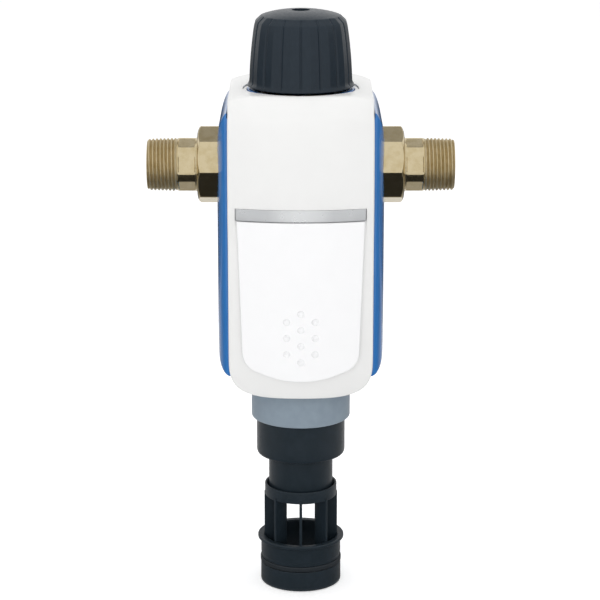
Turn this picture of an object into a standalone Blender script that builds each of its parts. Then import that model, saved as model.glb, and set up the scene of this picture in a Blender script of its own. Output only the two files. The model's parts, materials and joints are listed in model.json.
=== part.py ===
"""Backwash filter for a house water main, 1 inch, as an assembly of separate pieces.

The origin is the middle of the pipe run. The water flows along X, the front of the housing
faces -Y, and the handwheel stands on top, +Z. Sizes below are in millimetres, and every mesh
is made in metres.
"""

import math

import bmesh
import bpy
from mathutils import Matrix, Vector

MM = 0.001
SEAT = 0.3              # clearance between two pieces that touch
OVERSHOOT = 5.0         # how far a cutter runs past the faces that it cuts
MERGE = 0.00001         # distance in metres at which doubled points are merged
REACH = 200.0           # length of a cutter that passes through everything

# Widths, from the bowl out to the unions: each piece clears the one inside it
BOWL_RADIUS = 28.8
CHANNEL_CLEARANCE = 0.2  # the head's ring channel is this much wider than the bowl
HEAD_WALL = 4.0         # around the ring channel
PILLAR_RADIUS = 3.6
PILLAR_CLEARANCE = 1.4  # room between the head and the cover's screw pillars
BOSS_INSET = 7.0        # from the cover's side to its screws
SIDE_STRIP = 6.7        # how far a shell shows beside the cover
SPIGOT_SHOW = 2.3       # how far the head's spigots stand out of the shells
STRIP_INSET = 5.2       # from the cover's side to the end of the trim strip
SLIDER_INSET = 0.6      # from the end of the trim strip to the slider's side
SLIDER_TAPER = 3.0      # the slider's lower end is this much narrower on each side
RING_CHANNEL_RADIUS = BOWL_RADIUS + CHANNEL_CLEARANCE
HEAD_RADIUS = RING_CHANNEL_RADIUS + HEAD_WALL
BOSS_X = HEAD_RADIUS + PILLAR_CLEARANCE + PILLAR_RADIUS
COVER_HALF_WIDTH = BOSS_X + BOSS_INSET
SHELL_HALF_WIDTH = COVER_HALF_WIDTH + SIDE_STRIP
SPIGOT_REACH = SHELL_HALF_WIDTH + SPIGOT_SHOW
STRIP_HALF_WIDTH = COVER_HALF_WIDTH - STRIP_INSET
SLIDER_TOP_HALF = STRIP_HALF_WIDTH - SLIDER_INSET
SLIDER_LOW_HALF = SLIDER_TOP_HALF - SLIDER_TAPER

# Pipe run: the union on each side of the head, measured outwards from the middle
PIPE_THREAD_OD = 33.25  # R 1 taper thread
PIPE_THREAD_PITCH = 2.309
PIPE_THREAD_TURNS = 8
PIPE_THREAD_DEPTH = 1.0
PIPE_THREAD_TAPER = 0.6
PIPE_BORE = 25.0
UNION_THREAD_OD = 41.9  # G 1 1/4 thread on the head's spigots
GASKET_THICKNESS = 1.7
TAIL_FLANGE_THICKNESS = 3.3
TAIL_FLANGE_INSET = 1.5  # the flange is this much smaller than the union thread
NUT_LIP = 4.3
NUT_LENGTH = 18.2
NUT_ACROSS_FLATS = 45.0
NUT_TURN = 0.0          # degrees from a corner that points forward
NUT_CHAMFER = 24.0
NUT_RIM = 0.6           # flat ring left between the nut's chamfer and its bore
TAIL_COLLAR_RADIUS = 16.9
TAIL_COLLAR_SHOW = 0.6
WRENCH_LENGTH = 11.5
WRENCH_ACROSS_FLATS = 31.0
WRENCH_RADIUS = 16.5
WRENCH_TURN = 19.0
WRENCH_EDGE = 0.2       # round rim left at each end of the wrench flats

# Housing: white front cover, two blue side shells
COVER_WALL = 2.4
COVER_TOP = 49.2
COVER_CROWN = 3.5       # how far the top falls from the middle to its side edges
COVER_CROWN_POWER = 6   # the fall grows with this power of the distance from the middle
COVER_FRONT = 50.0      # front face ahead of the pipe axis, at its widest
COVER_BOW = 7.0         # how far the front bends back from the middle to its sides
COVER_STEP = 2.6        # setback of the front below the trim strip
COVER_BOTTOM = -139.5
COVER_CORNER_RISE = 29.5
COVER_CORNER_POWER = 3.9
COVER_SKIRT_BOTTOM = 36.0
COVER_RETURN = -37.4
SHELL_WALL = 2.5
SHELL_REAR = 57.0
SHELL_FRONT_CORNER = 25.7
SHELL_REAR_CORNER = 27.0
SHELL_REAR_FLAT = 28.0  # half width of the flat back wall
SHELL_SHOULDER_TOP = 39.0
SHELL_SHOULDER_DROP = 20.0
SHELL_SHOULDER_POWER = 1.6
SHELL_BOTTOM = -127.8
SHELL_BOTTOM_CORNER = 12.0
SHELL_LIP = 3.0
SHELL_FOOT_GAP = 0.8    # between the shells' floor and the collar ring
SHELL_CUP_WALL = 2.0
SHELL_CUP_DEPTH = 8.2
NUT_CLEARANCE = 0.85

# Knob well, rings and handwheel
WELL_RADIUS = 36.0
WELL_WALL = 2.4
WELL_FLOOR = 43.0
WELL_FLOOR_THICKNESS = 2.0
WELL_EYE_RADIUS = 29.6
INTERVAL_RING_INNER = 33.4
INTERVAL_RING_TOP = 47.6
BASE_RING_INNER = 30.2
KNOB_SIDE = ((28.6, 89.7), (29.6, 85.0), (31.1, 72.6), (32.0, 62.7), (32.6, 52.5))
KNOB_GAP = 0.4
KNOB_BASE = 49.8
KNOB_TOP = 96.6
KNOB_WALL = 2.6
KNOB_FLUTES = 16
KNOB_FLUTE_DEPTH = 1.0
KNOB_HUB_RADIUS = 9.0
KNOB_HUB_BOTTOM = 52.0
KNOB_WEB = 8.0
KNOB_RECESS_RADIUS = 4.6
KNOB_RECESS_DEPTH = 2.2
KNOB_SCREW_RADIUS = 2.0
KNOB_SCREW_HEAD = 2.8
KNOB_SCREW_REACH = 10.0

# Screws that hold the cover to the shells
BOSS_TOP_Z = 26.0
BOSS_BOTTOM_Z = -116.0
BOSS_RADIUS = 5.0
BOSS_FACE = 40.0
PILLAR_ROOT = 1.3       # depth inside the cover's front wall at which a pillar starts
SCREW_RADIUS = 1.5
SCREW_HEAD_RADIUS = 3.2
SCREW_HEAD_HEIGHT = 2.4
SCREW_HEAD_SEAT = 46.0
SCREW_REACH = 14.0

# Inspection slider, its window, and the trim strip above it
STRIP_TOP = -18.7
STRIP_HEIGHT = 7.2
STRIP_THICKNESS = 1.6
SLIDER_BOTTOM = -126.2
SLIDER_CORNER = 13.0
SLIDER_BASE_SAG = 5.0
SLIDER_LIP = 3.0        # the section runs this far below the outline's lowest point
SLIDER_FLARE = 2.5
SLIDER_SEAT = 0.15      # how far ahead of the stepped front the slider's seat is cleared
SLIDER_PLAY = 0.2       # room between that seat and the slider's back
SLIDER_TRAVEL = 45.0
DIMPLE_RADIUS = 2.0
DIMPLE_DEPTH = 0.7
DIMPLE_TOP_Z = -84.2
DIMPLE_STEP_X = 8.8
DIMPLE_STEP_Z = 5.1
WINDOW_HALF_WIDTH = 20.0
WINDOW_TOP = -34.0
HOOK_HEIGHT = 16.0
HOOK_NECK = 2.2
HOOK_FLANGE = 3.2
HOOK_PLATE = 1.8
HOOK_START = 2.0        # gap between the window's top and the hooks
HOOK_TAPER = 0.5        # the flange is this much shorter than the neck at each end

# Head: the casting that joins the pipe run, the bowl and the spindle
HEAD_TOP = 30.0
HEAD_CHAMFER = 3.0
HEAD_THREAD_LEAD = 1.5
HEAD_WEB = 5.5          # wall between the chamber and the outlet
HEAD_NECK_RADIUS = 13.0
HEAD_NECK_TOP = 44.0
HEAD_FLOOR = -33.0
HEAD_THREAD_STEP = 0.8  # the head's thread is this much wider than the bowl's flange
HEAD_THREAD_HEIGHT = 14.0
CHAMBER_LEDGE = 4.0     # from the screen's wall in to the chamber
CHAMBER_TOP = 12.0
SCREEN_SEAT_STEP = 0.5  # the screen's seat in the head is this much wider
SCREEN_SEAT_Z = -30.0
RING_CHANNEL_TOP = -16.0
BOWL_SEAL_HEIGHT = 2.0
BOWL_SEAL_WIDTH = 3.0
BOWL_SEAL_INSET = 1.2   # land outside the seal groove
STUFFING_RADIUS = 8.0

# Bowl, its nut and the grey collar at its foot
BOWL_WALL = 2.5
BOWL_FLANGE_WIDTH = 6.0
BOWL_FLANGE_THICKNESS = 3.0
BOWL_BOTTOM = -156.7
BOWL_NUT_WALL = 4.4
BOWL_NUT_LIP = 4.4
BOWL_NUT_EDGE = 1.0
BOWL_NUT_CLEAR = 2.0    # the nut stops this far below the top of the head's thread
COLLAR_WALL = 2.6
COLLAR_BOTTOM = -163.0
COLLAR_HEIGHT = 37.0
COLLAR_LIP = 2.7
BOWL_FLANGE_RADIUS = BOWL_RADIUS + BOWL_FLANGE_WIDTH
HEAD_THREAD_RADIUS = BOWL_FLANGE_RADIUS + HEAD_THREAD_STEP
BOWL_NUT_RADIUS = HEAD_THREAD_RADIUS + BOWL_NUT_WALL
COLLAR_RADIUS = BOWL_RADIUS + COLLAR_WALL

# Flush valve housing, its plug, and the drain
NECK_STEP = 0.6         # the neck is this much narrower than the bowl and its flange
NECK_RADIUS = BOWL_RADIUS - NECK_STEP
NECK_BOTTOM = -188.0
NECK_CHAMFER = 1.0
DRAIN_TUBE_RADIUS = 20.5
DRAIN_TUBE_WALL = 3.0
DRAIN_TUBE_LENGTH = 25.6
DRAIN_TUBE_BOTTOM = NECK_BOTTOM - DRAIN_TUBE_LENGTH
VALVE_SEAT_Z = -176.0
VALVE_SEAT_BORE = 9.0
SCREEN_SPIGOT_RADIUS = 15.0
SCREEN_SPIGOT_TOP = -137.0
HOUSING_DECK = -149.0
HOUSING_SEAL_LAND = 1.5
HOUSING_SEAL_HEIGHT = 3.0
HOUSING_SEAL_DEPTH = 2.2
PLUG_RADIUS = 12.5
PLUG_THICKNESS = 3.0
PLUG_HUB_RADIUS = 5.0
PLUG_HUB_HEIGHT = 3.0
PLUG_ROD_RADIUS = 2.4
PLUG_ROD_TOP = -50.0
VALVE_SEAL_THICKNESS = 1.6
CAGE_RADIUS = 23.1
CAGE_OVERLAP = 4.8      # how far the cage's ring reaches up the drain tube
CAGE_TOP = DRAIN_TUBE_BOTTOM + CAGE_OVERLAP
CAGE_RING_HEIGHT = 7.7
CAGE_LIP = 4.6          # ledge on which the drain tube ends
CAGE_MOUTH = 1.5        # depth and width of the bevel at the ring's mouth
CAGE_FINS = 8
CAGE_FIN_THICKNESS = 1.8
CAGE_FIN_INNER = 13.5
CAGE_FIN_OUTER = 23.5
CAGE_FIN_ROOT = 6.0     # how deep the fins reach into the sleeve below the flange
CAGE_FLANGE_RADIUS = 27.7
CAGE_OPENING = 35.0     # from the ring's top to the flange, across the air gap
CAGE_FLANGE_Z = CAGE_TOP - CAGE_OPENING
CAGE_FLANGE_THICKNESS = 2.2
SPIGOT_RADIUS = 25.9    # for a DN 50 waste pipe
SPIGOT_WALL = 2.8
SPIGOT_LENGTH = 31.1
SPIGOT_GROOVE_DROP = 13.2
SPIGOT_BOTTOM = CAGE_FLANGE_Z - SPIGOT_LENGTH
SPIGOT_GROOVE_Z = CAGE_FLANGE_Z - SPIGOT_GROOVE_DROP
SPIGOT_GROOVE_HEIGHT = 5.0
SPIGOT_GROOVE_DEPTH = 1.5
SPIGOT_SEAL_PROUD = 0.2

# Filter element, suction rotor and spindle
SCREEN_GAP = 5.3        # ring of water between the bowl and the screen
SCREEN_RADIUS = BOWL_RADIUS - BOWL_WALL - SCREEN_GAP
SCREEN_SEAT_RADIUS = SCREEN_RADIUS + SCREEN_SEAT_STEP
CHAMBER_RADIUS = SCREEN_RADIUS - CHAMBER_LEDGE
SCREEN_WALL = 0.8
SCREEN_TOP = -38.0
SCREEN_BOTTOM = -128.0
SCREEN_FRAME_OVERLAP = 5.0
ROTOR_RADIUS = 6.5
ROTOR_FOOT_RADIUS = 8.0
ROTOR_FOOT_HEIGHT = 12.0
ROTOR_BOTTOM = -151.5
ROTOR_TOP = -33.0
ROTOR_CUP_RADIUS = 9.0
ROTOR_CUP_DEPTH = 10.0
ROTOR_BORE = 5.0
ROTOR_BORE_TOP = -64.0
ROTOR_THREAD_TOP = -47.0
NOZZLE_RADIUS = 3.0
NOZZLE_BORE = 1.6
NOZZLE_GAP = 0.4
NOZZLE_HEIGHTS = (-72.0, -97.0, -122.0)
SPINDLE_RADIUS = 5.0
SPINDLE_TOP = 83.6
SPINDLE_COLLAR_RADIUS = 9.5
SPINDLE_COLLAR_THICKNESS = 3.0
SPINDLE_SEAL_HEIGHT = 2.5
SEAL_SUPPORT_HEIGHT = 3.9
GLAND_NUT_FLATS = 32.0
GLAND_NUT_WALL = 3.2
GLAND_NUT_HEIGHT = 13.0
GLAND_NUT_CHAMFER = 1.2

# Sides of a turned piece, by its size
FINE = 32
COARSE = 22
SMALL = 16


# Colours are linear, in the order red, green, blue
FINISHES = {
    "white_plastic": ((0.86, 0.87, 0.88), 0.25, 0.0),
    "blue_plastic": ((0.035, 0.14, 0.37), 0.2, 0.0),
    "black_plastic": ((0.025, 0.031, 0.038), 0.4, 0.0),
    "grey_plastic": ((0.22, 0.25, 0.28), 0.4, 0.0),
    "silver_trim": ((0.6, 0.62, 0.64), 0.3, 0.8),
    "nut_brass": ((0.5, 0.4, 0.22), 0.35, 1.0),
    "head_brass": ((0.42, 0.34, 0.2), 0.5, 1.0),
    "clear_plastic": ((0.7, 0.78, 0.82), 0.05, 0.0),
    "steel": ((0.55, 0.56, 0.57), 0.3, 1.0),
    "rubber": ((0.02, 0.02, 0.02), 0.8, 0.0),
    "fibre": ((0.12, 0.22, 0.16), 0.9, 0.0),
    "acetal": ((0.8, 0.8, 0.78), 0.4, 0.0),
}


def clear_scene():
    """Removes whatever the scene holds and makes the two collections."""
    for item in list(bpy.data.objects):
        bpy.data.objects.remove(item, do_unlink=True)
    parts = bpy.data.collections.new("self_cleaning_filter")
    tools = bpy.data.collections.new("cutters")
    bpy.context.scene.collection.children.link(parts)
    bpy.context.scene.collection.children.link(tools)
    return parts, tools


PARTS, TOOLS = clear_scene()


def finish(name):
    """The material of that name, made the first time that it is asked for."""
    if name in bpy.data.materials:
        return bpy.data.materials[name]
    colour, roughness, metallic = FINISHES[name]
    material = bpy.data.materials.new(name)
    material.use_nodes = True
    shader = material.node_tree.nodes["Principled BSDF"]
    shader.inputs["Base Color"].default_value = (*colour, 1.0)
    shader.inputs["Roughness"].default_value = roughness
    shader.inputs["Metallic"].default_value = metallic
    return material


def dress(item, finish_name):
    """Gives a finished piece its material."""
    item.data.materials.clear()
    item.data.materials.append(finish(finish_name))
    return item


def add_object(name, data):
    """Links new object data to the parts."""
    item = bpy.data.objects.new(name, data)
    PARTS.objects.link(item)
    return item


def as_tool(item):
    """Moves a helper shape out of the parts, so that only its effect is left."""
    PARTS.objects.unlink(item)
    TOOLS.objects.link(item)
    item.hide_render = True
    item.display_type = "WIRE"
    return item


def combine(target, tool, operation):
    """Cuts, joins or intersects the target with a helper shape."""
    as_tool(tool)
    modifier = target.modifiers.new(tool.name, "BOOLEAN")
    modifier.operation = operation
    modifier.solver = "EXACT"
    modifier.object = tool
    return target


def cut(target, *tools):
    """Takes helper shapes away from the target."""
    for tool in tools:
        combine(target, tool, "DIFFERENCE")
    return target


def join(target, *tools):
    """Adds helper shapes to the target."""
    for tool in tools:
        combine(target, tool, "UNION")
    return target


def keep_inside(target, *tools):
    """Keeps only what lies inside the helper shapes."""
    for tool in tools:
        combine(target, tool, "INTERSECT")
    return target


def turned(name, profile, steps=FINE, side=0):
    """A profile of (radius, height) corners turned about Z, or about the pipe run.

    The profile runs down its outer side and back up its bore, or from axis to axis. side is
    +1 or -1 for a piece that points along +X or -X.
    """
    mesh = bpy.data.meshes.new(name)
    corners = [(radius * MM, 0.0, height * MM) for radius, height in profile]
    edges = [(index, index + 1) for index in range(len(corners) - 1)]
    if profile[0][0] > 0.0:
        edges.append((len(corners) - 1, 0))
    mesh.from_pydata(corners, edges, [])
    item = add_object(name, mesh)
    screw = item.modifiers.new("turn", "SCREW")
    screw.axis = "Z"
    screw.angle = 2.0 * math.pi
    screw.steps = steps
    screw.render_steps = steps
    screw.use_merge_vertices = True
    screw.merge_threshold = MERGE
    screw.use_smooth_shade = True
    if side:
        item.rotation_euler = (0.0, side * math.pi / 2.0, 0.0)
    return item


def tube(name, outer, inner, top, bottom, steps=FINE, side=0):
    """A plain ring between two heights."""
    profile = [(outer, top), (outer, bottom), (inner, bottom), (inner, top)]
    return turned(name, profile, steps, side)


def rod(name, radius, start, end, axis="Z", at=(0.0, 0.0), steps=COARSE):
    """A cylinder along an axis, from start to end, at the two other coordinates."""
    mesh = bpy.data.meshes.new(name)
    work = bmesh.new()
    bmesh.ops.create_cone(
        work, cap_ends=True, segments=steps, depth=(end - start) * MM,
        radius1=radius * MM, radius2=radius * MM)
    work.to_mesh(mesh)
    work.free()
    middle = (start + end) / 2.0
    item = add_object(name, mesh)
    if axis == "X":
        item.rotation_euler = (0.0, math.pi / 2.0, 0.0)
        item.location = Vector((middle, *at)) * MM
    elif axis == "Y":
        item.rotation_euler = (-math.pi / 2.0, 0.0, 0.0)
        item.location = Vector((at[0], middle, at[1])) * MM
    else:
        item.location = Vector((*at, middle)) * MM
    return item


def block(name, low, high):
    """A box between two corners."""
    low, high = Vector(low), Vector(high)
    mesh = bpy.data.meshes.new(name)
    work = bmesh.new()
    bmesh.ops.create_cube(work, size=1.0)
    bmesh.ops.scale(work, vec=(high - low) * MM, verts=work.verts)
    bmesh.ops.translate(work, vec=(low + high) / 2.0 * MM, verts=work.verts)
    work.to_mesh(mesh)
    work.free()
    return add_object(name, mesh)


# Turns the plane that an outline is drawn in to where it lies in the model
PLANES = {
    "XY": Matrix.Identity(4),
    "XZ": Matrix(((1, 0, 0, 0), (0, 0, -1, 0), (0, 1, 0, 0), (0, 0, 0, 1))),
    "YZ": Matrix(((0, 0, 1, 0), (1, 0, 0, 0), (0, 1, 0, 0), (0, 0, 0, 1))),
}


def prism(name, outline, low, high, plane):
    """A flat outline in one plane, extruded along the third axis from low to high."""
    curve = bpy.data.curves.new(name, "CURVE")
    curve.dimensions = "2D"
    curve.fill_mode = "BOTH"
    curve.extrude = (high - low) / 2.0 * MM
    spline = curve.splines.new("POLY")
    spline.points.add(len(outline) - 1)
    for point, (across, up) in zip(spline.points, outline):
        point.co = (across * MM, up * MM, 0.0, 1.0)
    spline.use_cyclic_u = True
    guide = add_object(name + "_outline", curve)
    middle = (low + high) / 2.0 * MM * (-1.0 if plane == "XZ" else 1.0)
    guide.matrix_world = PLANES[plane] @ Matrix.Translation((0.0, 0.0, middle))
    bpy.context.view_layer.update()
    graph = bpy.context.evaluated_depsgraph_get()
    mesh = bpy.data.meshes.new_from_object(guide.evaluated_get(graph))
    mesh.transform(guide.matrix_world)
    weld(mesh)
    bpy.data.objects.remove(guide, do_unlink=True)
    return add_object(name, mesh)


def weld(mesh):
    """Closes the loose caps of a filled curve and turns its faces outwards."""
    work = bmesh.new()
    work.from_mesh(mesh)
    bmesh.ops.remove_doubles(work, verts=work.verts, dist=MERGE / 10.0)
    flat = [edge for edge in work.edges if len(edge.link_faces) == 2
            and edge.calc_face_angle(1.0) < 0.0001]
    bmesh.ops.dissolve_edges(work, edges=flat, use_verts=False)
    bmesh.ops.recalc_face_normals(work, faces=work.faces)
    work.to_mesh(mesh)
    work.free()


def bowed(item, half_width, stations, sag=COVER_BOW, fall=0.0):
    """Bends a straight extrusion along X: back by the sag at its sides, and down by the fall.

    Only what lies in its front half is moved back.
    """
    work = bmesh.new()
    work.from_mesh(item.data)
    for index in range(1, stations):
        place = half_width * (2.0 * index / stations - 1.0) * MM
        bmesh.ops.bisect_plane(
            work, geom=work.verts[:] + work.edges[:] + work.faces[:],
            plane_co=(place, 0.0, 0.0), plane_no=(1.0, 0.0, 0.0))
    for vertex in work.verts:
        share = abs(vertex.co.x) / (COVER_HALF_WIDTH * MM)
        if vertex.co.y < -0.5 * COVER_FRONT * MM:
            vertex.co.y += sag * share ** 2 * MM
        vertex.co.z -= fall * share ** COVER_CROWN_POWER * MM
    work.to_mesh(item.data)
    work.free()
    return item


def arc(centre, across, up, start, end, points=8, power=2.0):
    """Points on a quarter of an ellipse or superellipse, angles in degrees."""
    result = []
    for index in range(points + 1):
        angle = math.radians(start + (end - start) * index / points)
        cosine, sine = math.cos(angle), math.sin(angle)
        result.append((
            centre[0] + across * math.copysign(abs(cosine) ** (2.0 / power), cosine),
            centre[1] + up * math.copysign(abs(sine) ** (2.0 / power), sine)))
    return result


def mirrored(half):
    """Closes an outline that is drawn from top to bottom on the +X side."""
    return half + [(-across, up) for across, up in reversed(half)]


def sided(points, side):
    """An outline drawn for the +X side, for that side or for the other."""
    if side > 0:
        return points
    return [(-across, up) for across, up in reversed(points)]


def offset_path(path, distance):
    """A path moved sideways by a distance, to the right of its direction."""
    result = []
    for index, point in enumerate(path):
        before = Vector(path[max(index - 1, 0)])
        after = Vector(path[min(index + 1, len(path) - 1)])
        along = (after - before).normalized()
        result.append((point[0] + along.y * distance, point[1] - along.x * distance))
    return result


# Places that follow from the sizes above
GASKET_START = SPIGOT_REACH + SEAT
TAIL_START = GASKET_START + GASKET_THICKNESS + SEAT
NUT_LIP_START = TAIL_START + TAIL_FLANGE_THICKNESS + SEAT
NUT_FACE = NUT_LIP_START + NUT_LIP
NUT_START = NUT_FACE - NUT_LENGTH
WRENCH_START = NUT_FACE + TAIL_COLLAR_SHOW
THREAD_START = WRENCH_START + WRENCH_LENGTH
THREAD_END = THREAD_START + PIPE_THREAD_PITCH * (PIPE_THREAD_TURNS + 0.25)
UNION_RADIUS = UNION_THREAD_OD / 2.0
BORE_RADIUS = PIPE_BORE / 2.0
NUT_CORNER = NUT_ACROSS_FLATS / 2.0 / math.cos(math.pi / 8.0)
CUP_RADIUS = NUT_CORNER + NUT_CLEARANCE
STEPPED_FRONT = COVER_FRONT - COVER_STEP
BOWL_NUT_LIP_TOP = HEAD_FLOOR - SEAT - BOWL_FLANGE_THICKNESS - SEAT
STRIP_BOTTOM = STRIP_TOP - STRIP_HEIGHT
SLIDER_TOP = STRIP_BOTTOM - SEAT
SLIDER_BACK = -STEPPED_FRONT - SLIDER_SEAT - SLIDER_PLAY
WINDOW_BOTTOM = WINDOW_TOP - SLIDER_TRAVEL - HOOK_HEIGHT - 4.0


def head_profile():
    """Half section of the casting: neck, body, bowl thread, ring channel, chamber."""
    thread_top = HEAD_FLOOR + HEAD_THREAD_HEIGHT
    seal_floor = HEAD_FLOOR + BOWL_SEAL_HEIGHT
    seal_outer = BOWL_FLANGE_RADIUS - BOWL_SEAL_INSET
    seal_inner = seal_outer - BOWL_SEAL_WIDTH
    return [
        (HEAD_NECK_RADIUS, HEAD_NECK_TOP), (HEAD_NECK_RADIUS, HEAD_TOP),
        (HEAD_RADIUS - HEAD_CHAMFER, HEAD_TOP), (HEAD_RADIUS, HEAD_TOP - HEAD_CHAMFER),
        (HEAD_RADIUS, thread_top), (HEAD_THREAD_RADIUS, thread_top - HEAD_THREAD_LEAD),
        (HEAD_THREAD_RADIUS, HEAD_FLOOR), (seal_outer, HEAD_FLOOR),
        (seal_outer, seal_floor), (seal_inner, seal_floor),
        (seal_inner, HEAD_FLOOR), (RING_CHANNEL_RADIUS, HEAD_FLOOR),
        (RING_CHANNEL_RADIUS, RING_CHANNEL_TOP), (SCREEN_SEAT_RADIUS, RING_CHANNEL_TOP),
        (SCREEN_SEAT_RADIUS, SCREEN_SEAT_Z), (CHAMBER_RADIUS, SCREEN_SEAT_Z),
        (CHAMBER_RADIUS, CHAMBER_TOP), (STUFFING_RADIUS, CHAMBER_TOP),
        (STUFFING_RADIUS, HEAD_NECK_TOP)]


def make_head():
    """The casting with its two spigots; the inlet is on the left, the outlet on the right."""
    head = turned("head_body", head_profile())
    inner = CHAMBER_RADIUS + HEAD_WEB
    for side, label in ((-1, "left"), (1, "right")):
        ends = sorted((side * (inner + 2.0), side * SPIGOT_REACH))
        join(head, rod("spigot_" + label, UNION_RADIUS - SEAT, *ends, axis="X", steps=FINE))
    cut(head, rod("inlet_bore", BORE_RADIUS, -REACH, -CHAMBER_RADIUS / 2.0, axis="X"))
    cut(head, rod("outlet_bore", BORE_RADIUS, inner, REACH, axis="X"))
    half = BORE_RADIUS - 2.5
    cut(head, block("outlet_drop", (inner + 0.4, -half, RING_CHANNEL_TOP - 1.0),
                    (RING_CHANNEL_RADIUS - 0.8, half, BORE_RADIUS - 4.0)))
    return dress(head, "head_brass")


def make_spindle_seals():
    """Two O-rings and a guide bush around the spindle, and the nut that holds them in."""
    inner = SPINDLE_RADIUS + SEAT
    outer = STUFFING_RADIUS - SEAT
    support_top = CHAMBER_TOP + SEAT + SEAL_SUPPORT_HEIGHT
    floor = support_top + SEAT
    for label in ("lower", "upper"):
        ring = tube("spindle_seal_" + label, outer, inner, floor + SPINDLE_SEAL_HEIGHT,
                    floor, SMALL)
        dress(ring, "rubber")
        floor += SPINDLE_SEAL_HEIGHT + SEAT
    bush = tube("gland_bush", outer, inner, HEAD_NECK_TOP - SEAT, floor, SMALL)
    dress(bush, "acetal")
    keep_ring = tube("seal_support", outer, inner, support_top, CHAMBER_TOP + SEAT, SMALL)
    dress(keep_ring, "acetal")
    make_gland_nut(inner)


def make_gland_nut(spindle_bore):
    """Hexagon nut over the head's neck."""
    top = HEAD_NECK_TOP + SEAT + GLAND_NUT_WALL
    corner = GLAND_NUT_FLATS / math.sqrt(3.0)
    bottom = top - GLAND_NUT_HEIGHT
    bore = HEAD_NECK_RADIUS + SEAT
    nut = turned("gland_nut", [
        (corner - GLAND_NUT_CHAMFER, top), (corner + SEAT, top - GLAND_NUT_CHAMFER),
        (corner + SEAT, bottom), (bore, bottom), (bore, HEAD_NECK_TOP + SEAT),
        (spindle_bore, HEAD_NECK_TOP + SEAT), (spindle_bore, top)], COARSE)
    flats = rod("gland_flats", corner, bottom - OVERSHOOT, top + OVERSHOOT, steps=6)
    keep_inside(nut, flats)
    dress(nut, "nut_brass")


def make_union(side, label):
    """Gasket, threaded tail and octagonal nut on one side of the head."""
    gasket = tube("gasket_" + label, UNION_RADIUS - 2.0, BORE_RADIUS + 0.5,
                  GASKET_START + GASKET_THICKNESS, GASKET_START, COARSE, side)
    dress(gasket, "fibre")
    make_tail(side, label)
    make_union_nut(side, label)


def thread_points():
    """The crests and roots of the taper thread, from its free end inwards."""
    crest = PIPE_THREAD_OD / 2.0
    points = []
    for turn in range(PIPE_THREAD_TURNS):
        place = THREAD_END - PIPE_THREAD_PITCH * (turn + 0.5)
        radius = crest - PIPE_THREAD_TAPER * (THREAD_END - THREAD_START - turn
                                              * PIPE_THREAD_PITCH) / (THREAD_END - THREAD_START)
        points.append((radius, place))
        points.append((radius - PIPE_THREAD_DEPTH, place - PIPE_THREAD_PITCH / 2.0))
    return points


def make_tail(side, label):
    """Threaded tail: sealing flange, collar, wrench flats, taper thread."""
    tip = PIPE_THREAD_OD / 2.0 - PIPE_THREAD_TAPER - PIPE_THREAD_DEPTH
    profile = [(tip, THREAD_END)] + thread_points()
    profile += [
        (WRENCH_RADIUS, THREAD_START), (WRENCH_RADIUS, WRENCH_START),
        (TAIL_COLLAR_RADIUS, WRENCH_START),
        (TAIL_COLLAR_RADIUS, TAIL_START + TAIL_FLANGE_THICKNESS),
        (UNION_RADIUS - TAIL_FLANGE_INSET, TAIL_START + TAIL_FLANGE_THICKNESS),
        (UNION_RADIUS - TAIL_FLANGE_INSET, TAIL_START),
        (BORE_RADIUS, TAIL_START), (BORE_RADIUS, THREAD_END)]
    tail = turned("pipe_tail_" + label, profile, 20, side)
    near, far = sorted((side * (WRENCH_START + WRENCH_EDGE), side * (THREAD_START - WRENCH_EDGE)))
    for index in range(6):
        flat = block("wrench_flat_%s_%d" % (label, index + 1),
                     (near, -PIPE_THREAD_OD, WRENCH_ACROSS_FLATS / 2.0),
                     (far, PIPE_THREAD_OD, PIPE_THREAD_OD))
        flat.rotation_euler.x = math.radians(WRENCH_TURN + 60.0 * index)
        cut(tail, flat)
    dress(tail, "nut_brass")


def make_union_nut(side, label):
    """Octagonal nut that pulls the tail against the gasket."""
    slope = math.tan(math.radians(NUT_CHAMFER))
    lip_bore = TAIL_COLLAR_RADIUS + SEAT
    rim = lip_bore + NUT_RIM
    corner = NUT_CORNER + SEAT
    thread_bore = UNION_RADIUS + SEAT
    nut = turned("union_nut_" + label, [
        (rim, NUT_FACE), (corner, NUT_FACE - (corner - rim) * slope),
        (corner, NUT_START), (thread_bore, NUT_START), (thread_bore, NUT_LIP_START),
        (lip_bore, NUT_LIP_START), (lip_bore, NUT_FACE)], FINE, side)
    ends = sorted((side * (NUT_START - OVERSHOOT), side * (NUT_FACE + OVERSHOOT)))
    flats = rod("nut_flats_" + label, NUT_CORNER, *ends, axis="X", steps=8)
    flats.rotation_euler = (Matrix.Rotation(math.radians(NUT_TURN), 3, "X")
                            @ flats.rotation_euler.to_matrix()).to_euler()
    keep_inside(nut, flats)
    dress(nut, "nut_brass")


def cover_front_path():
    """Side view of the cover's outer face at its middle, from the back edge to the bottom.

    Points are (Y, Z). Below the trim strip the face steps back to make room for the slider.
    """
    front = -COVER_FRONT
    stepped = -STEPPED_FRONT
    path = [(SHELL_REAR + 5.0, COVER_TOP - 1.6), (SHELL_REAR - 9.0, COVER_TOP - 0.6),
            (0.0, COVER_TOP), (front + 14.0, COVER_TOP - 0.3)]
    path += [(front + 11.5, COVER_TOP - 1.2), (front + 8.8, COVER_TOP - 2.4),
             (front + 6.6, COVER_TOP - 5.2), (front + 3.6, COVER_TOP - 13.5),
             (front + 1.3, COVER_TOP - 26.0), (front, COVER_TOP - 44.0)]
    path += [(front, STRIP_TOP + 7.0), (front + 0.7, STRIP_TOP),
             (stepped - 0.8, STRIP_BOTTOM), (stepped, STRIP_BOTTOM - 8.0)]
    path += [(stepped, COVER_BOTTOM + 20.0), (stepped + 0.7, COVER_BOTTOM + 9.0),
             (stepped + 2.8, COVER_BOTTOM)]
    return path


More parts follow.
